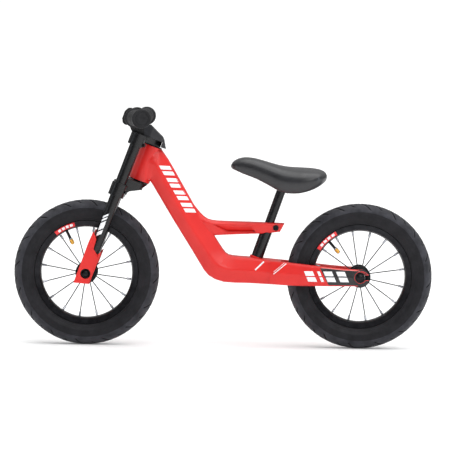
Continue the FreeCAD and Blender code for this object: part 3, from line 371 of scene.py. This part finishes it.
def carve(piece, cutter):
    """Cuts one mesh out of a piece, and takes the cutter away."""
    bpy.context.scene.collection.objects.link(cutter)
    cut = piece.modifiers.new("carve", "BOOLEAN")
    cut.operation = "DIFFERENCE"
    cut.solver = "EXACT"
    cut.object = cutter
    apply_modifiers(piece)
    bpy.data.objects.remove(cutter)


def eased(node, width):
    """A copy of a CAD piece with its sharp edges rounded, which stands for it."""
    mesh = bmesh.new()
    mesh.from_mesh(NODES[node].data)
    bmesh.ops.remove_doubles(mesh, verts=mesh.verts, dist=WELD * MM)
    bmesh.ops.dissolve_limit(
        mesh, angle_limit=FLAT_ANGLE, verts=mesh.verts, edges=mesh.edges, delimit={"NORMAL"}
    )
    data = bpy.data.meshes.new(f"{node}_eased")
    mesh.to_mesh(data)
    mesh.free()
    data.materials.append(finish_for(node))
    piece = bpy.data.objects.new(data.name, data)
    bpy.context.scene.collection.objects.link(piece)
    for face in data.polygons:
        face.use_smooth = True
    if node == "frame":
        carve(piece, arm_wedges())
    bevel = piece.modifiers.new("edges", "BEVEL")
    bevel.width = width * MM
    bevel.segments = EDGE_SEGMENTS
    bevel.limit_method = "ANGLE"
    bevel.angle_limit = EDGE_ANGLE
    bevel.miter_outer = "MITER_ARC"
    apply_modifiers(piece)
    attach(piece, body_holding(node))
    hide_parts(node)
    return piece


def flatten_facets(piece):
    """Leaves the flat faces flat-shaded and puts all of the turn of the shading into the rounded edges."""
    normals = piece.modifiers.new("facets", "WEIGHTED_NORMAL")
    normals.mode = "FACE_AREA_WITH_ANGLE"
    normals.weight = FACET_WEIGHT
    normals.keep_sharp = False
    apply_modifiers(piece)


# ---- tyres ----

SIPES = 32  # on each side of a tyre
SIPE_WIDTH = 3.3
SIPE_FLOOR = (0.2, 0.8)  # where the floor starts and ends, in shares of the width
SIPE_DEPTH = 2.6
SIPE_END_SLOPE = 3.2  # how fast a sipe reaches its full depth from its ends
SIPE_START = -7.0  # from the crown's centre line, towards the sipe's own side
SIPE_ENDS = (24.5, 17.5)  # long and short sipes take turns
SIPE_SLANT = 0.95  # how far a sipe runs round the tyre for each millimetre across it
TREAD_STEPS = 4  # between two sipes
TREAD_EDGE = 134.0  # radius of the tread's shoulder
RIM_GROOVE = 109.0  # radius up to which the groove beside the rim reaches; it is darkened there as painted shade
CASING_MIDDLE = 125.0  # radius of the middle of the tyre's round section
# radius and distance from the mid-plane, from the bead up the sidewall to the crown
TYRE_HALF = [
    (101.7, 14.2), (107.4, 14.3), (108.3, 15.0), (108.9, 16.6), (109.2, 18.2), (110.0, 19.0),
    (111.2, 19.2), (111.9, 19.5), (112.6, 20.3), (113.5, 20.9), (114.2, 20.9), (115.5, 21.6),
    (118.0, 22.9), (120.6, 23.8), (121.2, 24.2), (121.9, 24.15), (124.5, 24.7), (128.0, 24.95),
    (131.0, 24.7), (132.2, 24.45), (133.4, 23.9), (134.1, 24.3), (135.2, 24.2), (137.4, 23.3),
    (139.8, 21.9), (142.2, 19.9), (144.5, 17.5), (146.6, 14.6), (148.3, 11.3), (149.6, 7.8),
    (150.5, 4.2), (151.0, 1.2),
]
TYRE_INSIDE = [(147.0, 0.0), (140.0, 17.0), (127.0, 21.0), (112.0, 15.0), (104.0, 10.5), (101.7, 10.0)]


def tyre_section():
    """(radius, across, distance over the crown, part) round the closed section."""
    near = [(radius, -across) for radius, across in TYRE_HALF]
    far = [(radius, across) for radius, across in reversed(TYRE_HALF)]
    inside = [(radius, across) for radius, across in reversed(TYRE_INSIDE)]
    inside += [(radius, -across) for radius, across in TYRE_INSIDE[1:]]
    outer = near + far
    lengths = [0.0]
    for (r0, a0), (r1, a1) in zip(outer, outer[1:]):
        lengths.append(lengths[-1] + math.hypot(r1 - r0, a1 - a0))
    middle = (lengths[len(near) - 1] + lengths[len(near)]) / 2
    section = []
    for (radius, across), length in zip(outer, lengths):
        part = "tread" if radius >= TREAD_EDGE else "groove" if radius < RIM_GROOVE else "side"
        section.append((radius, across, length - middle, part))
    section += [(radius, across, None, "inside") for radius, across in inside]
    return section


def tread_columns(radius):
    """Angles round the tyre, each with the side and the end of the sipe whose floor lies there, or zeros."""
    period = 2 * math.pi / SIPES
    edge = SIPE_WIDTH / radius
    columns = []
    for number in range(SIPES):
        for side, start in ((-1, 0.0), (1, period / 2)):
            first = number * period + start
            end = SIPE_ENDS[number % 2]
            floor_columns = [(first + share * edge, side, end) for share in SIPE_FLOOR]
            columns += [(first, 0, 0), *floor_columns, (first + edge, 0, 0)]
            gap = period / 2 - edge
            columns += [(first + edge + gap * step / TREAD_STEPS, 0, 0) for step in range(1, TREAD_STEPS)]
    return columns


def sipe_depth(length, side, end):
    """How deep a sipe is at a distance over the crown."""
    if not side or not SIPE_START < side * length < end:
        return 0.0
    share = (side * length - SIPE_START) / (end - SIPE_START)
    return SIPE_DEPTH * min(1.0, SIPE_END_SLOPE * math.sin(math.pi * share))


def paint_tyre(piece, section, columns):
    """Gives the tread its own rubber, and paints shade as a darker rubber onto the floors of the sipes and
    the groove beside the rim.
    """
    piece.data.materials.append(TREAD)
    piece.data.materials.append(PAINTED_SHADE_RUBBER)
    count = len(columns)
    for face in piece.data.polygons:
        row, column = divmod(face.index, count)
        parts = (section[row][3], section[(row + 1) % len(section)][3])
        _, side, end = max(columns[column], columns[(column + 1) % count], key=lambda spot: spot[2])
        # the floors of the sipes and the groove beside the rim get the darker rubber as painted shade
        if parts == ("tread", "tread"):
            lengths = [side * section[row][2], side * section[row + 1][2]]
            in_sipe = side and SIPE_START < max(lengths) and min(lengths) < end
            face.material_index = 2 if in_sipe else 1
        elif parts == ("groove", "groove"):
            face.material_index = 2


def tyre(wheel):
    """One tyre with its bead, sidewall rings and slanted sipes, hollow inside."""
    section = tyre_section()
    columns = tread_columns(wheel.radius / MM)
    slant_end = max(abs(length) for _, _, length, part in section if part == "tread")
    points = []
    for radius, across, length, part in section:
        reach = min(abs(length), slant_end) if length is not None else slant_end
        sweep = -SIPE_SLANT * reach / (wheel.radius / MM)
        outwards = Vector((radius - CASING_MIDDLE, across)).normalized()
        for angle, side, end in columns:
            inward = outwards * (sipe_depth(length, side, end) if part == "tread" else 0.0)
            points.append(wheel.point((radius - inward.x) * MM, (across - inward.y) * MM, angle + sweep))
    faces = grid_faces(len(section), len(columns), wrap_rows=True, wrap_columns=True)
    piece = new_piece(f"{wheel.end}_tyre_treaded", points, faces, SIDEWALL, wheel.body)
    paint_tyre(piece, section, columns)
    outward(piece)
    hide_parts(f"{wheel.end}_tyre")


# ---- wheels' small pieces ----

STICKER_ARCS = {"front": (104.5, 129.5), "rear": (119.0, 147.5)}  # degrees from +X towards +Z
STICKER_RADII = (97.9, 106.6)
STICKER_LIFT = 0.15  # how far a sticker's face stands off the rim
STICKER_BACK = -0.2
STICKER_ROWS = 5
STICKER_BARS = 4
STICKER_BAR_RADII = (99.6, 105.0)
STICKER_BAR_LIFT = 0.3
STICKER_BAR_SPAN = (0.1, 0.9)  # the bars' share of the sticker's length
STICKER_BAR_LENGTH = 0.17  # in shares of that span
RIM_FOOT, RIM_FOOT_HALF, RIM_SLOPE = 97.5, 15.5, 0.15  # radius, half the width there, and its growth outwards


def rim_face(radius):
    """Half the rim's width at a radius, on its sloping side wall."""
    return RIM_FOOT_HALF + (radius - RIM_FOOT) * RIM_SLOPE


def sticker_patch(wheel, name, span, radii, lift, finish, steps, side):
    """A thin printed patch that lies on the rim's side wall, over a span of degrees."""
    points = []
    for layer in (lift, STICKER_BACK):
        for row in range(STICKER_ROWS):
            radius = radii[0] + (radii[1] - radii[0]) * row / (STICKER_ROWS - 1)
            for step in range(steps + 1):
                angle = math.radians(span[0] + (span[1] - span[0]) * step / steps)
                points.append(wheel.point(radius * MM, side * (rim_face(radius) + layer) * MM, angle))
    front, rest = sheet_faces(STICKER_ROWS, steps + 1)
    outward(new_piece(name, points, front + rest, finish, wheel.body))


def rim_stickers(wheel):
    """A red sticker with white bars on each side of a rim."""
    low, high = STICKER_ARCS[wheel.end]
    bars_low, bars_high = [low + (high - low) * share for share in STICKER_BAR_SPAN]
    pitch = (bars_high - bars_low) / STICKER_BARS
    length = (bars_high - bars_low) * STICKER_BAR_LENGTH
    for side_name, side in SIDES:
        name = f"{wheel.end}_rim_sticker_{side_name}"
        sticker_patch(wheel, name, (low, high), STICKER_RADII, STICKER_LIFT, RED_FILM, 24, side)
        for number in range(STICKER_BARS):
            start = bars_low + pitch * number
            sticker_patch(wheel, f"{name}_bar_{number + 1}", (start, start + length), STICKER_BAR_RADII,
                          STICKER_BAR_LIFT, WHITE_FILM, 5, side)


# distance along the cap from its middle towards the hub, radius, and how deep the ribs are
CAP_OUTLINE = [
    (5.4, 3.4, 0), (5.5, 3.85, 0), (4.6, 4.1, 0), (4.2, 4.15, 0.35), (-1.5, 4.15, 0.35),
    (-2.0, 4.0, 0), (-3.4, 3.6, 0), (-5.0, 3.2, 0), (-5.5, 2.7, 0), (-5.5, 0.3, 0),
]
CAP_RIBS = 18
COLLAR_OUTLINE = [(5.7, 3.1), (5.7, 4.2), (7.2, 4.2), (7.4, 3.9), (7.4, 3.1)]
OFF_AXIS = Vector((0.31, 0.2, 0.93))  # a direction that no turned piece's axis has


def tube_faces(rings, turns):
    """Quads over rings of points, and a cap on each end."""
    last = (rings - 1) * turns
    caps = [tuple(range(last, last + turns)), tuple(reversed(range(turns)))]
    return grid_faces(rings, turns, wrap_columns=True) + caps


def valve_cap(wheel):
    """A ribbed brass cap and the bright collar above it."""
    cap = f"{wheel.end}_valve_cap"
    stem = f"{wheel.end}_valve_stem"
    top, tip = centre(stem), centre(cap)
    out = (top - wheel.centre).normalized()
    middle = wheel.centre + out * (tip - wheel.centre).dot(out)
    sideways = out.cross(AXIS_Y).normalized()
    turns = CAP_RIBS * 4
    points = []
    for along, radius, rib in CAP_OUTLINE:
        for turn in range(turns):
            angle = 2 * math.pi * turn / turns
            reach = (radius - rib * (turn % 4 in (0, 1))) * MM
            points.append(middle + out * along * MM
                          + (sideways * math.cos(angle) + AXIS_Y * math.sin(angle)) * reach)
    piece = new_piece(f"{wheel.end}_valve_cap_ribbed", points, tube_faces(len(CAP_OUTLINE), turns),
                      BRASS, wheel.body)
    outward(piece)
    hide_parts(cap)
    turned(f"{wheel.end}_valve_collar", COLLAR_OUTLINE, middle, out, 32, PLAIN_STEEL, wheel.body,
           ring=True)


def turned(name, outline, origin, axis, turns, finish, body, ring=False):
    """A piece turned about an axis from (along, radius) pairs; a ring's outline closes on itself."""
    sideways = axis.cross(OFF_AXIS).normalized()
    other = axis.cross(sideways)
    points = []
    for along, radius in outline:
        for turn in range(turns):
            angle = 2 * math.pi * turn / turns
            reach = (sideways * math.cos(angle) + other * math.sin(angle)) * radius * MM
            points.append(origin + axis * along * MM + reach)
    if ring:
        faces = grid_faces(len(outline), turns, wrap_rows=True, wrap_columns=True)
    else:
        faces = tube_faces(len(outline), turns)
    return outward(new_piece(name, points, faces, finish, body))


# ---- grips ----

# radii of a grip's bore, of its core between the ribs, of a rib's shoulders and top, and of its flanges
GRIP_BORE, GRIP_CORE, RIB_SHOULDER, RIB_TOP, GRIP_FLANGE = 11.15, 14.9, 15.75, 16.0, 19.6
GRIP_RIBS = 15
GRIP_SWELL = 0.35  # how much the middle ribs stand above the outer ones
RIB_SPAN = (8.0, 12.0)  # where the ribs start and stop, from the grip's inner and outer end


def grip(side_name):
    """A ribbed rubber grip with a stop flange at each end, round the bar's swept axis."""
    node = f"grip_{side_name}"
    seat, axis = mount(f"handlebar_{side_name}_section")
    out = axis if axis.y * centre(node).y > 0 else -axis
    reach = [(vertex.co - seat).dot(out) / MM for vertex in NODES[node].data.vertices]
    start, end = min(reach), max(reach)
    first, last = start + RIB_SPAN[0], end - RIB_SPAN[1]
    pitch = (last - first) / GRIP_RIBS
    outline = [(start, GRIP_BORE), (start, 18.6), (start + 0.5, 19.3), (start + 1.4, GRIP_FLANGE),
               (start + 3.4, GRIP_FLANGE), (start + 4.4, 19.2), (start + 5.2, 18.0), (start + 6.2, 16.6)]
    for number in range(GRIP_RIBS):
        low = first + number * pitch
        swell = GRIP_SWELL * math.sin(math.pi * (number + 0.5) / GRIP_RIBS)
        outline += [(low, GRIP_CORE), (low + 0.22 * pitch, RIB_SHOULDER + swell),
                    (low + 0.5 * pitch, RIB_TOP + swell), (low + 0.78 * pitch, RIB_SHOULDER + swell)]
    outline += [(last, GRIP_CORE), (last + 1.8, 16.6), (last + 3.2, 18.4), (last + 4.2, 19.3),
                (last + 5.2, GRIP_FLANGE), (end - 2.6, GRIP_FLANGE), (end - 1.2, 19.2), (end - 0.3, 18.2),
                (end, 16.8), (end, 13.4), (end - 0.7, 12.9), (end - 0.7, 12.3), (end, 11.8), (end, 5.0),
                (end - 0.5, 4.4), (end - 0.5, 0.4)]
    piece = turned(f"{node}_ribbed", outline, seat, out, 72, GRIP, "handlebar")
    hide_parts(node)


# ---- saddle ----

SADDLE_CELL = 2.2
SADDLE_RELAX = (0.5, 14)  # factor and rounds


def saddle():
    """The pad as one smooth skin, from the CAD solid: remeshed, relaxed and subdivided."""
    piece = bpy.data.objects.new("saddle_cover", NODES["saddle_pad"].data.copy())
    bpy.context.scene.collection.objects.link(piece)
    piece.data.materials.clear()
    piece.data.materials.append(SADDLE)
    remesh = piece.modifiers.new("even", "REMESH")
    remesh.mode = "VOXEL"
    remesh.voxel_size = SADDLE_CELL * MM
    remesh.use_smooth_shade = True
    relax = piece.modifiers.new("relax", "SMOOTH")
    relax.factor, relax.iterations = SADDLE_RELAX
    finer = piece.modifiers.new("finer", "SUBSURF")
    finer.levels = finer.render_levels = 1
    apply_modifiers(piece)
    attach(piece, "seat")
    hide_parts("saddle_pad")


# ---- the guards' returns ----

# behind the leg's middle, above the axle and out from the bike's mid-plane
RETURN_EDGE = [
    (12.0, -18.2, 62.3), (15.0, -17.2, 58.5), (15.0, 54.0, 58.5), (8.0, 44.8, 61.5), (12.0, 40.0, 62.3),
]
RETURN_INSIDE = 55.8  # its inner face, from the mid-plane


def guard_return(side_name, side):
    """The narrow return along a guard's rear edge, beside the foot of the leg."""
    up = joint_axis("steering")
    back = Vector((up.z, 0, -up.x))
    axle = centre("front_axle")
    middle = Vector((axle.x, 0, axle.z))
    inside = [(behind, high, RETURN_INSIDE) for behind, high, _ in RETURN_EDGE]
    points = [middle + (back * behind + up * high + AXIS_Y * side * out) * MM
              for behind, high, out in RETURN_EDGE + inside]
    count = len(RETURN_EDGE)
    faces = [(0, 1, 2, 4), (2, 3, 4), (5, 6, 7, 9), (7, 8, 9)]
    faces += [(k, (k + 1) % count, (k + 1) % count + count, k + count) for k in range(count)]
    outward(new_piece(f"fork_guard_return_{side_name}", points, faces, RED, "fork"))


# ---- decals on the frame and fork ----

FILM_LIFT = 0.25  # how far a patch's face stands off the surface
RAISED_LIFT = 0.3  # the same for the stripes and for the bars on the stay
FILM_BACK = -0.3
RAY_START = 300.0  # from the mid-plane, well outside the bike
NEAR_SIDE = 50.0  # where a place beside the surface looks for its nearest point


class Skin:
    """Finds the outside of CAD pieces seen from one side."""

    def __init__(self, *nodes):
        mesh = bmesh.new()
        for node in nodes:
            mesh.from_mesh(NODES[node].data)
        self.tree = BVHTree.FromBMesh(mesh)
        mesh.free()

    def place(self, x, z, side, lift):
        """The surface point at x and z in millimetres on one side, raised by the lift."""
        start = Vector((x, side * RAY_START, z)) * MM
        point, normal, _, _ = self.tree.ray_cast(start, Vector((0, -side, 0)))
        if point is None:
            point, normal, _, _ = self.tree.find_nearest(Vector((x, side * NEAR_SIDE, z)) * MM)
        if normal.y * side < 0:
            normal = -normal
        return point + normal * lift * MM


def film(name, skin, spot, columns, rows, side, finish, body, lift):
    """A thin closed film; spot(u, v) gives its (x, z), and it lies on the surface there."""
    points = []
    for layer in (lift, FILM_BACK):
        for row in range(rows):
            for column in range(columns):
                x, z = spot(column / (columns - 1), row / (rows - 1))
                points.append(skin.place(x, z, side, layer))
    front, rest = sheet_faces(rows, columns)
    piece = new_piece(name, points, front + rest, finish, body)
    for face in piece.data.polygons:
        face.use_smooth = face.index < len(front)
    outward(piece)


def patch(name, skin, corners, side, finish, body="frame", lift=FILM_LIFT, cell=2.5):
    """A film between four (x, z) corners, with points about a cell apart."""
    a, b, c, d = [Vector(corner) for corner in corners]
    columns = max(2, round(max((b - a).length, (c - d).length) / cell) + 1)
    rows = max(2, round(max((d - a).length, (c - b).length) / cell) + 1)

    def spot(u, v):
        return (a * (1 - u) + b * u) * (1 - v) + (d * (1 - u) + c * u) * v

    film(name, skin, spot, columns, rows, side, finish, body, lift)


def stripe(name, skin, path, width, side, finish, cell=2.5):
    """A film of one width on the frame, along a path of (x, z) points."""
    points = [Vector(point) for point in path]
    steps = [(after - before).length for before, after in zip(points, points[1:])]
    total = sum(steps)
    columns = max(3, round(total / cell) + 1)

    def spot(u, v):
        left = u * total
        for index, step in enumerate(steps):
            if left <= step or index == len(steps) - 1:
                break
            left -= step
        way = (points[index + 1] - points[index]).normalized()
        place = points[index] + way * left
        return place + Vector((-way.y, way.x)) * (v - 0.5) * width

    film(name, skin, spot, columns, 3, side, finish, "frame", RAISED_LIFT)


def arc(middle, radii, start, end, steps):
    """Points of an arc round a middle, from start to end in degrees, with a radius for each axis."""
    angles = [math.radians(start + (end - start) * step / steps) for step in range(steps + 1)]
    return [(middle[0] + radii[0] * math.cos(angle), middle[1] + radii[1] * math.sin(angle))
            for angle in angles]


def barred(start, end, half, tilt, shares):
    """Corners of slanted bars across a line, each given by its first and last share of the line.

    half is half a bar's length across the line, and tilt shifts its ends along the line, one each way.
    """
    start, end = Vector(start), Vector(end)
    way = end - start
    along = way.normalized()
    across = Vector((-along.y, along.x))
    for low, high in shares:
        near, far = start + way * low, start + way * high
        yield [near - across * half - along * tilt, far - across * half - along * tilt,
               far + across * half + along * tilt, near + across * half + along * tilt]


def down_tube_bars(skin, side, side_name):
    """Four pairs of plain white bars along the upper facet."""
    # in shares of the line: from pair to pair, a bar's width, and from a pair's first bar to its second
    pitch, width, second = 0.26, 0.082, 0.118
    shares = []
    for number in range(4):
        for low in (number * pitch, number * pitch + second):
            shares.append((low, low + width))
    for number, corners in enumerate(barred((-125.5, 375.0), (-67.5, 277.0), 9.4, 6.0, shares), 1):
        patch(f"down_tube_bar_{side_name}_{number}", skin, corners, side, WHITE_FILM)


def beam_slashes(skin, side, side_name):
    """A short white slash and a thin double one behind the seat tube."""
    slashes = {
        "front": ([(66.4, 162.5), (84.5, 180.0)], 3.0),
        "rear": ([(104.5, 155.0), (130.5, 177.6)], 1.7),
        "rear_thin": ([(104.5, 159.5), (126.5, 178.6)], 0.8),
    }
    for name, (path, width) in slashes.items():
        stripe(f"beam_slash_{name}_{side_name}", skin, path, width, side, WHITE_FILM)


def stay_bars(skin, side, side_name):
    """Slanted white blocks on the stay, each split by a thin gap."""
    bottom, top, gap, lean = 141.0, 162.5, 2.4, -9.5
    height = top - bottom
    half = (height - gap) / 2
    rise = lean * half / height
    for number, (x, width) in enumerate([(176.5, 18.5), (203.5, 6.0), (216.5, 18.0), (243.0, 18.0)], 1):
        for layer, low in (("lower", 0.0), ("upper", half + gap)):
            left = x + lean * low / height
            foot = bottom + low
            corners = [(left, foot), (left + width, foot),
                       (left + width + rise, foot + half), (left + rise, foot + half)]
            patch(f"stay_bar_{side_name}_{number}_{layer}", skin, corners, side, WHITE_FILM, lift=RAISED_LIFT)


def dropout_lines(skin, side, side_name):
    """Thin red lines round the rear end of the stay and round the axle's recess, and a light red painted
    highlight along the stay's upper edge.
    """
    axle = centre("rear_axle") / MM
    recess = arc((axle.x, axle.z), (11.9, 11.9), 29, 331, 40)
    stripe(f"recess_line_{side_name}", skin, recess, 0.75, side, RED_FILM, cell=1.5)
    for name, z in (("upper", 5.8), ("lower", -5.8)):
        path = [(axle.x + 10.6, axle.z + z), (axle.x + 17.5, axle.z + z)]
        stripe(f"slot_line_{name}_{side_name}", skin, path, 0.9, side, RED_FILM, cell=1.5)
    # painted highlight: a light red line along the stay's upper edge, above the black
    edge = [(203.5, 170.2), (245.0, 166.4), (283.0, 164.4)]
    stripe(f"stay_edge_highlight_{side_name}", skin, edge, 1.0, side, EDGE_HIGHLIGHT_FILM)
    rear_end = arc((axle.x, axle.z - 1.5), (17.6, 14.8), 88, 24, 16)
    stripe(f"stay_end_line_{side_name}", skin, rear_end, 0.9, side, RED_FILM, cell=1.5)


def leg_slashes(side, side_name):
    """White bars and two ticks on the outside of a fork leg."""
    skin = Skin(f"fork_leg_{side_name}")
    shares = [(0.0, 0.2), (0.27, 0.62), (0.70, 0.80), (0.86, 0.96)]
    for number, corners in enumerate(barred((-258.0, 231.0), (-242.5, 275.0), 4.6, -4.5, shares), 1):
        patch(f"leg_bar_{side_name}_{number}", skin, corners, side, WHITE_FILM, body="fork", cell=1.5)


# the black part of a stay: its slanted front edge, its upper edge and its lower edge, as (x, z) points
BLACK_FRONT = ((219.0, 134.0), (199.0, 172.0))
BLACK_TOP = ((199.0, 169.6), (290.0, 163.2))
BLACK_BOTTOM = ((300.0, 134.2), (199.0, 134.2))
BLACK_REAR = 283.0  # behind this x the edges above and below don't count
BLACK_DEPTH = 5.0  # how far the black goes in from the frame's widest point
CUT_SLACK = 1e-7  # in metres


def right_of(line, x, z):
    """Whether a point is on the right of a line between two (x, z) points, looking along it."""
    (x0, z0), (x1, z1) = line
    return (x - x0) * (z1 - z0) > (z - z0) * (x1 - x0)


def black_stay_ends(piece):
    """Paints the rear end of each stay black, with a slanted front edge and a thin red border."""
    mesh = bmesh.new()
    mesh.from_mesh(piece.data)
    for first, second in (BLACK_FRONT, BLACK_TOP, BLACK_BOTTOM):
        way = Vector(second) - Vector(first)
        normal = Vector((-way.y, 0, way.x))
        parts = mesh.verts[:] + mesh.edges[:] + mesh.faces[:]
        place = Vector((first[0], 0, first[1])) * MM
        bmesh.ops.bisect_plane(mesh, geom=parts, dist=CUT_SLACK, plane_co=place, plane_no=normal)
    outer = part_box("frame")[1].y - BLACK_DEPTH * MM
    for face in mesh.faces:
        spot = face.calc_center_median()
        x, z = spot.x / MM, spot.z / MM
        between = right_of(BLACK_TOP, x, z) and right_of(BLACK_BOTTOM, x, z)
        if right_of(BLACK_FRONT, x, z) and abs(spot.y) > outer and (between or x > BLACK_REAR):
            face.material_index = 1
    mesh.to_mesh(piece.data)
    mesh.free()
    piece.data.materials.append(BLACK_FILM)


# ---- all together ----

def dress():
    """Gives every CAD piece its finish, makes the finer pieces and lays the decals on."""
    for node, thing in NODES.items():
        thing.data.materials.clear()
        thing.data.materials.append(finish_for(node))
    for wheel in WHEELS:
        tyre(wheel)
        rim_stickers(wheel)
        valve_cap(wheel)
    for side_name, _ in SIDES:
        grip(side_name)
    saddle()
    pieces = {node: eased(node, width) for node, width in EASED.items()}
    black_stay_ends(pieces["frame"])
    for piece in pieces.values():
        flatten_facets(piece)
    skin = Skin("frame")
    for side_name, side in SIDES:
        down_tube_bars(skin, side, side_name)
        beam_slashes(skin, side, side_name)
        stay_bars(skin, side, side_name)
        dropout_lines(skin, side, side_name)
        leg_slashes(side, side_name)
        guard_return(side_name, side)


dress()


# ---- floor, light and camera, in metres ----

FLOOR_REACH = 60.0
FLOOR_CELLS = 24


def floor():
    """A pale floor that reaches to the horizon."""
    finish = Finish("pale_floor", Specular_IOR_Level=0.2, Emission_Color=(1, 1, 1, 1), Emission_Strength=0.08)
    finish.colour(finish.noise(0.6, 2), (0.92, 0.92, 0.92), (0.94, 0.94, 0.94))
    finish.roughness(finish.noise(3, 2), 0.6, 0.7)
    places = [(step / FLOOR_CELLS - 0.5) * FLOOR_REACH for step in range(FLOOR_CELLS + 1)]
    points = [(x, y, 0) for y in places for x in places]
    mesh = bpy.data.meshes.new("floor")
    mesh.from_pydata(points, [], grid_faces(len(places), len(places)))
    mesh.materials.append(finish.material)
    plane = bpy.data.objects.new("floor", mesh)
    bpy.context.scene.collection.objects.link(plane)


# the light's strength over a range of the direction's height or depth: range start, end, strengths there
HEIGHT_GLOW = (0.0, 1.0, 0.16, 1.12)
DEPTH_GLOW = (-1.0, 0.2, 0.35, 1.0)
PLAIN_GLOW = 1.05  # what the camera sees


def sky():
    """A white studio: the background is plain white, and the light from it is stronger from above."""
    world = bpy.data.worlds.new("studio")
    bpy.context.scene.world = world
    world.use_nodes = True
    tree = world.node_tree
    tree.nodes.clear()
    place = tree.nodes.new("ShaderNodeTexCoord")
    split = tree.nodes.new("ShaderNodeSeparateXYZ")
    height = tree.nodes.new("ShaderNodeMapRange")
    depth = tree.nodes.new("ShaderNodeMapRange")
    for node, values in ((height, HEIGHT_GLOW), (depth, DEPTH_GLOW)):
        for socket, value in zip(("From Min", "From Max", "To Min", "To Max"), values):
            node.inputs[socket].default_value = value
    product = tree.nodes.new("ShaderNodeMath")
    product.operation = "MULTIPLY"
    glow = tree.nodes.new("ShaderNodeBackground")
    plain = tree.nodes.new("ShaderNodeBackground")
    plain.inputs["Strength"].default_value = PLAIN_GLOW
    for background in (glow, plain):
        background.inputs["Color"].default_value = (1, 1, 1, 1)
    path = tree.nodes.new("ShaderNodeLightPath")
    mix = tree.nodes.new("ShaderNodeMixShader")
    out = tree.nodes.new("ShaderNodeOutputWorld")
    tree.links.new(place.outputs["Generated"], split.inputs["Vector"])
    tree.links.new(split.outputs["Z"], height.inputs["Value"])
    tree.links.new(split.outputs["Y"], depth.inputs["Value"])
    tree.links.new(height.outputs["Result"], product.inputs[0])
    tree.links.new(depth.outputs["Result"], product.inputs[1])
    tree.links.new(product.outputs["Value"], glow.inputs["Strength"])
    tree.links.new(path.outputs["Is Camera Ray"], mix.inputs["Fac"])
    tree.links.new(glow.outputs["Background"], mix.inputs[1])
    tree.links.new(plain.outputs["Background"], mix.inputs[2])
    tree.links.new(mix.outputs["Shader"], out.inputs["Surface"])


def lamp(name, kind, place, target, energy, **settings):
    """A lamp at a place that shines at a target; energy in watts, for a sun in watts a square metre."""
    data = bpy.data.lights.new(name, kind)
    data.energy = energy
    for setting, value in settings.items():
        setattr(data, setting, value)
    light = bpy.data.objects.new(name, data)
    light.location = place
    light.rotation_euler = (Vector(target) - Vector(place)).to_track_quat("-Z", "Y").to_euler()
    bpy.context.scene.collection.objects.link(light)


def camera():
    """The camera looks along +Y at the bike's left side, from a little above, with a slight roll."""
    distance = 6.0
    view_width = 0.9375  # how much of the target's plane the picture shows
    elevation = math.radians(3.1)
    roll = math.radians(0.925)
    target = Vector((0.0025, 0.0, 0.2530))
    data = bpy.data.cameras.new("camera")
    data.sensor_width = 36.0  # in millimetres, like the lens
    data.lens = data.sensor_width * distance / view_width
    data.clip_end = 200.0
    eye = bpy.data.objects.new("camera", data)
    eye.location = target + Vector((0, -math.cos(elevation), math.sin(elevation))) * distance
    look = (target - eye.location).to_track_quat("-Z", "Y").to_matrix()
    eye.rotation_euler = (look @ Matrix.Rotation(roll, 3, "Z")).to_euler()
    bpy.context.scene.collection.objects.link(eye)
    bpy.context.scene.camera = eye


BIKE_MIDDLE = (0, 0, 0.25)
COOL_WHITE = (0.80, 0.90, 1.0)

floor()
sky()
lamp("overhead_sun", "SUN", (0.9, -0.9, 4.0), (0, 0, 0.2), 2.3, angle=math.radians(75))
lamp("front_softbox", "AREA", (1.0, -4.6, 2.5), BIKE_MIDDLE, 46.0, shape="RECTANGLE", size=3.0, size_y=0.8)
for name, x, energy in (("left_strip", -3.2, 7.0), ("right_strip", 3.2, 15.0)):
    lamp(name, "AREA", (x, -1.4, 0.9), BIKE_MIDDLE, energy, shape="RECTANGLE", size=0.3, size_y=2.2,
         color=COOL_WHITE)
camera()
bpy.context.scene.view_settings.view_transform = "Standard"
